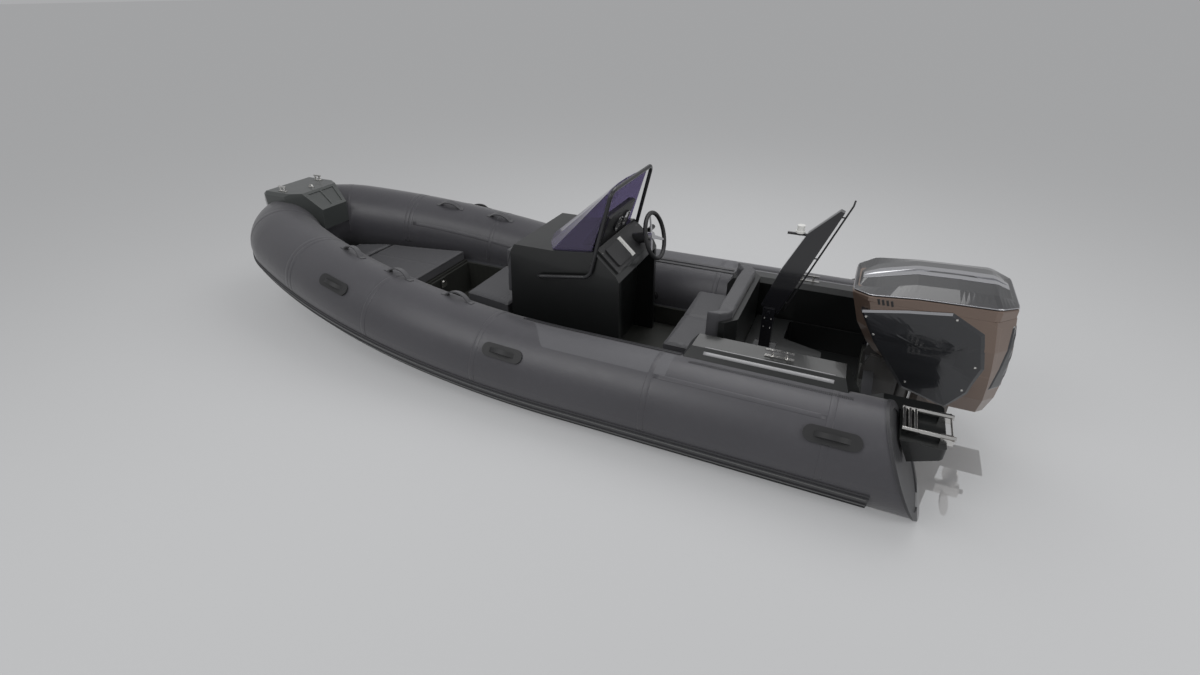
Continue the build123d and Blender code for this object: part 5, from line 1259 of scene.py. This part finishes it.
@dataclass
class Outboard:
    """The engine's cowl: crown, bronze shoulder, bright ridge, side covers, louvres and screws."""

    scatter: Scatter
    middle: float = -0.17
    split: tuple = ((0.22, 0.842), (0.12, 0.862), (-0.10, 0.884), (-0.45, 0.894), (-0.60, 0.872))
    ridge: tuple = (
        (0.22, 0.846), (0.09, 0.892), (-0.08, 0.937), (-0.27, 0.944), (-0.44, 0.944), (-0.60, 0.876),
    )
    cover: tuple = ((0.148, 0.780), (-0.060, 0.822), (-0.262, 0.850), (-0.420, 0.762), (-0.478, 0.555),
                    (-0.452, 0.372), (-0.375, 0.262), (-0.140, 0.335), (0.052, 0.600))
    crease_top: tuple = (-0.222, 0.832)
    crease_lean: float = 0.215
    crease_fall: float = 0.16
    seam_z: float = 0.842
    base_z: float = 0.8365
    edge_profile: tuple = ((0.0, 0.0075), (0.004, -0.006), (-0.006, -0.008), (-0.008, 0.006))
    looks_round: int = 96
    stern_rows: int = 18
    stern_columns: int = 24
    louvre_heights: tuple = (0.62, 0.655, 0.69, 0.725, 0.76)
    screws: tuple = ((0.118, 0.752), (-0.285, 0.818), (-0.435, 0.560), (-0.420, 0.395), (-0.150, 0.385),
                     (0.062, 0.650))
    stern_low: float = 0.40
    stern_high: float = 0.81
    stern_middle: float = -0.36
    stern_spread: float = 0.86
    stern_rise: float = 0.004
    stern_sink: float = -0.004

    @staticmethod
    def level(table: tuple, x: float) -> float:
        """Height read from (x, z) stations that run aft."""
        for (x0, z0), (x1, z1) in zip(table, table[1:]):
            if x >= x1:
                share = min(max((x0 - x) / (x0 - x1), 0.0), 1.0)
                return z0 + (z1 - z0) * share
        return table[-1][1]

    def plan(self) -> list[Vector]:
        """The frame's outline just under the crown, by looks from all round."""
        skin = Skin("cowl_crown")
        ring = []
        for turn in range(self.looks_round):
            angle = tau * turn / self.looks_round
            way = Vector((cos(angle), sin(angle), 0))
            start = Vector((self.middle, 0, self.seam_z)) + way
            ring.append(skin.hit(start, -way)[0])
        return ring

    def lifted(self, ring: Sequence[Vector], table: tuple, wide: float, long: float,
               rise: float = 0.0) -> list[Vector]:
        """The outline drawn in towards the middle line and set at its stations' heights."""
        placed = []
        for point in ring:
            x = self.middle + (point.x - self.middle) * long
            placed.append(Vector((x, point.y * wide, self.level(table, x) + rise)))
        return placed

    def crown(self) -> None:
        """Bronze shoulder, dark roof and bright ridge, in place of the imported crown."""
        ring = self.plan()
        shoulder = [
            [Vector((point.x * 0.98 + self.middle * 0.02, point.y * 0.94, self.base_z)) for point in ring],
            [Vector((point.x, point.y, self.base_z)) for point in ring],
            self.lifted(ring, self.split, 1.0, 1.0, -0.004),
            self.lifted(ring, self.split, 0.985, 0.985),
        ]
        band = piece("cowl_shoulder", Look.BRONZE, "engine", *swept(shoulder), smooth=False)
        roof = [
            self.lifted(ring, self.split, 0.97, 0.98, -0.002),
            self.lifted(ring, self.split, 0.985, 0.99, 0.006),
            self.lifted(ring, self.split, 0.975, 0.985, 0.012),
            self.lifted(ring, self.ridge, 0.62, 0.93, -0.014),
            self.lifted(ring, self.ridge, 0.24, 0.90),
        ]
        top = piece("cowl_roof", Look.CROWN, "engine", *swept(roof), smooth=False)
        strip = [self.lifted(ring, self.ridge, wide, 0.895, rise) for wide, rise in
                 ((0.225, -0.001), (0.225, 0.0012), (0.19, 0.0018), (0.05, 0.0018))]
        bright = piece("cowl_ridge", Look.SILVER, "engine", *swept(strip), smooth=False)
        edge = [point + Vector((0, 0, 0.0085)) for point in self.lifted(ring, self.split, 0.985, 0.99)]
        lip = piece("cowl_edge", Look.SILVER, "engine", *hosed(edge, 0.0028, True, 6))
        for thing in (band, top, bright, lip):
            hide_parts("cowl_crown")

    def face_y(self, skin: Skin, x: float, z: float) -> float:
        """How far out the side cover stands at a place."""
        flat = 0.218 + 0.058 * min(max((z - 0.25) / 0.5, 0.0), 1.0)
        over = skin.hit((x, 0.6, z), (0, -1, 0))[0].y + 0.009
        crease_x, crease_z = self.crease_top
        bend = max(0.0, (crease_x - x) - self.crease_lean * max(0.0, crease_z - z)) * self.crease_fall
        return max(flat - bend, over)

    def covers(self) -> None:
        """Side covers with a bright upper edge and a crease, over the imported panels."""
        skin = Skin("cowl_frame", "cowl_side_panels")
        middle = Vector((sum(x for x, _ in self.cover), sum(z for _, z in self.cover))) / len(self.cover)
        rims: list[list[Vector]] = [[], [], []]
        count = len(self.cover)
        line = []
        for spot in range(count):
            (x0, z0), (x1, z1) = self.cover[spot], self.cover[(spot + 1) % count]
            line += [(x0 + (x1 - x0) * share / 6, z0 + (z1 - z0) * share / 6) for share in range(6)]
        for x, z in line:
            inward = (middle - Vector((x, z))).normalized()
            for number, (inset, drop) in enumerate(((0.0, 0.05), (0.0, 0.009), (0.017, 0.0))):
                px, pz = x + inward.x * inset, z + inward.y * inset
                rims[number].append(Vector((px, self.face_y(skin, px, pz) - drop, pz)))
        rings = rims
        for share in (0.75, 0.5, 0.25, 0.04):
            ring = []
            for point in rims[2]:
                x, z = middle.x + (point.x - middle.x) * share, middle.y + (point.z - middle.y) * share
                ring.append(Vector((x, self.face_y(skin, x, z), z)))
            rings = [*rings, ring]
        for side, word in zip(SIDES, ("port", "starboard")):
            turned = [[Vector((point.x, point.y * side, point.z)) for point in ring] for ring in rings]
            piece(f"cowl_cover_{word}", Look.PANEL, "engine", *swept(turned), smooth=False)
            pairs = zip(turned[1][:13], turned[2][:13])
            edge = [(one + two) / 2 + Vector((0, 0.0012 * side, 0.001)) for one, two in pairs]
            run = [[point + Vector((0, y * side, z)) for y, z in self.edge_profile] for point in edge]
            piece(f"cover_edge_{word}", Look.SILVER, "engine", *swept(run), smooth=False)

    def stern_cover(self) -> None:
        """A dark panel round the frame's after end, with turned-in edges."""
        skin = Skin("cowl_frame")
        rows, columns = self.stern_rows, self.stern_columns
        corners = []
        for row in range(rows + 1):
            z = self.stern_low + (self.stern_high - self.stern_low) * row / rows
            for spot in range(columns + 1):
                angle = pi + self.stern_spread * (2 * spot / columns - 1)
                way = Vector((cos(angle), sin(angle), 0.0))
                point, normal = skin.hit(Vector((self.stern_middle, 0, z)) + way, -way)
                rim = row in (0, rows) or spot in (0, columns)
                corners.append(point + normal * (self.stern_sink if rim else self.stern_rise))
        piece("cowl_stern_cover", Look.PANEL, "engine", corners, grid_faces(rows, columns), smooth=False)

    def louvres(self) -> None:
        """Dark slots at the fore end of the shoulder, and across the stern of the frame."""
        skin = Skin("cowl_frame")
        for side, word in zip(SIDES, ("port", "starboard")):
            spots = []
            for number in range(5):
                point, normal = skin.hit((0.075 - 0.021 * number, 0.6 * side, 0.826), (0, -side, 0))
                spots.append((point + Vector((0, 0, 0.016)), normal, Vector((0.35, 0, 1))))
            slot = slab_shape(0.034, 0.0125, -0.003, 0.0018, 0.002)
            self.scatter.stand(f"cowl_louvres_{word}", slot, spots, Look.DASH, "engine")
        spots = []
        for z in self.louvre_heights:
            point, normal = skin.hit((-1.2, 0, z), (1, 0, 0))
            spots.append((point + normal * self.stern_rise, normal, Vector((0, 1, 0))))
        slot = slab_shape(0.20, 0.013, -0.003, 0.002, 0.003)
        self.scatter.stand("stern_louvres", slot, spots, Look.DASH, "engine")

    def build(self) -> None:
        """Makes the cowl's pieces."""
        self.crown()
        self.covers()
        self.stern_cover()
        self.louvres()
        skin = Skin("cowl_frame", "cowl_side_panels")
        spots = []
        for side in SIDES:
            for x, z in self.screws:
                point = Vector((x, self.face_y(skin, x, z) * side, z))
                spots.append((point, Vector((0, side, 0)), Vector((0, 0, 1))))
        self.scatter.stand("cowl_screws", SCREW, spots, Look.STEEL, "engine", 1.5)


# Studio


@dataclass(frozen=True)
class Viewpoint:
    """The camera, as the photograph was taken."""

    place: Colour = (0.2373, 3.26, 2.2324)
    yaw: float = 0.44463
    dip: float = 0.53874
    roll: float = -0.018
    lens: float = 579.468 * 36 / 1200

    def build(self) -> None:
        """Makes the scene's camera."""
        ahead = Vector((cos(self.dip) * sin(self.yaw), -cos(self.dip) * cos(self.yaw), -sin(self.dip)))
        level = Vector((-cos(self.yaw), -sin(self.yaw), 0))
        above = level.cross(ahead)
        right = level * cos(self.roll) + above * sin(self.roll)
        up = above * cos(self.roll) - level * sin(self.roll)
        data = bpy.data.cameras.new("camera")
        data.sensor_width = 36.0
        data.lens = self.lens
        data.clip_end = 3000.0
        camera = bpy.data.objects.new("camera", data)
        bpy.context.scene.collection.objects.link(camera)
        turn = Matrix((right, up, -ahead)).transposed().to_4x4()
        camera.matrix_world = Matrix.Translation(self.place) @ turn
        bpy.context.scene.camera = camera


@dataclass
class Studio:
    """A pale water-level floor, soft lamps and an even world."""

    pale: Colour = (0.64, 0.645, 0.655)
    shown: Colour = (0.40, 0.403, 0.41)
    clear: float = 0.5
    ambient: float = 0.62
    reach: float = 900.0

    def floor(self) -> None:
        """The floor at the waterline, partly clear so that what is afloat below it shows."""
        mesh = bpy.data.meshes.new("floor")
        far = self.reach
        mesh.from_pydata([(-far, -far, 0), (far, -far, 0), (far, far, 0), (-far, far, 0)], [], [(0, 1, 2, 3)])
        floor = bpy.data.objects.new("floor", mesh)
        bpy.context.scene.collection.objects.link(floor)
        coat = Coat("floor")
        matt = coat.node("ShaderNodeBsdfDiffuse", inputs={"Color": self.pale})
        clear = coat.node("ShaderNodeBsdfTransparent")
        both = coat.node("ShaderNodeMixShader", inputs={0: self.clear, 1: matt, 2: clear})
        coat.tree.nodes.remove(coat.shader)
        coat.tree.links.new(both.socket, coat.output.inputs[0])
        mesh.materials.append(coat.material)

    def lamp(self, name: str, place: Colour, aim: Colour, size: float, power: float) -> None:
        """One soft square lamp.

        Args:
            name: the lamp's name.
            place: where it hangs.
            aim: what it points at.
            size: its side.
            power: its power in watts.
        """
        data = bpy.data.lights.new(name, "AREA")
        data.shape = "SQUARE"
        data.size = size
        data.energy = power
        lamp = bpy.data.objects.new(name, data)
        lamp.location = place
        lamp.rotation_euler = (Vector(place) - Vector(aim)).to_track_quat("Z", "Y").to_euler()
        bpy.context.scene.collection.objects.link(lamp)

    def world(self) -> None:
        """Even light, with a pale backdrop for the camera, gloss and clear parts."""
        world = bpy.data.worlds.new("studio")
        world.use_nodes = True
        bpy.context.scene.world = world
        tree = world.node_tree
        tree.nodes.clear()
        path = tree.nodes.new("ShaderNodeLightPath")
        wire = Wire(tree, path.outputs["Is Camera Ray"]) + Wire(tree, path.outputs["Is Glossy Ray"])
        seen = (wire + Wire(tree, path.outputs["Is Transmission Ray"])).held()
        light, shown = tree.nodes.new("ShaderNodeBackground"), tree.nodes.new("ShaderNodeBackground")
        light.inputs["Strength"].default_value = self.ambient
        shown.inputs["Color"].default_value = (*self.shown, 1.0)
        mix, output = tree.nodes.new("ShaderNodeMixShader"), tree.nodes.new("ShaderNodeOutputWorld")
        tree.links.new(seen.socket, mix.inputs[0])
        tree.links.new(light.outputs[0], mix.inputs[1])
        tree.links.new(shown.outputs[0], mix.inputs[2])
        tree.links.new(mix.outputs[0], output.inputs[0])

    def build(self) -> None:
        """Sets up the floor, the lamps and the world."""
        self.floor()
        self.world()
        self.lamp("key", (3.4, 3.6, 4.6), (2.0, 0.2, 0.3), 3.2, 95.0)
        self.lamp("top", (1.2, -1.6, 4.4), (1.8, 0.0, 0.3), 3.6, 90.0)
        self.lamp("stern", (-3.6, 1.6, 2.8), (0.2, 0.2, 0.5), 2.0, 55.0)
        bpy.context.scene.view_settings.view_transform = "Standard"


def main() -> None:
    """Builds the view, then every piece in order."""
    Viewpoint().build()
    Studio().build()
    dress_nodes()
    scatter = Scatter()
    TubeSeams().build()
    for pad in PADS:
        pad.build(scatter)
    Fittings(scatter).build()
    Outboard(scatter).build()


if __name__ == "__main__":
    main()
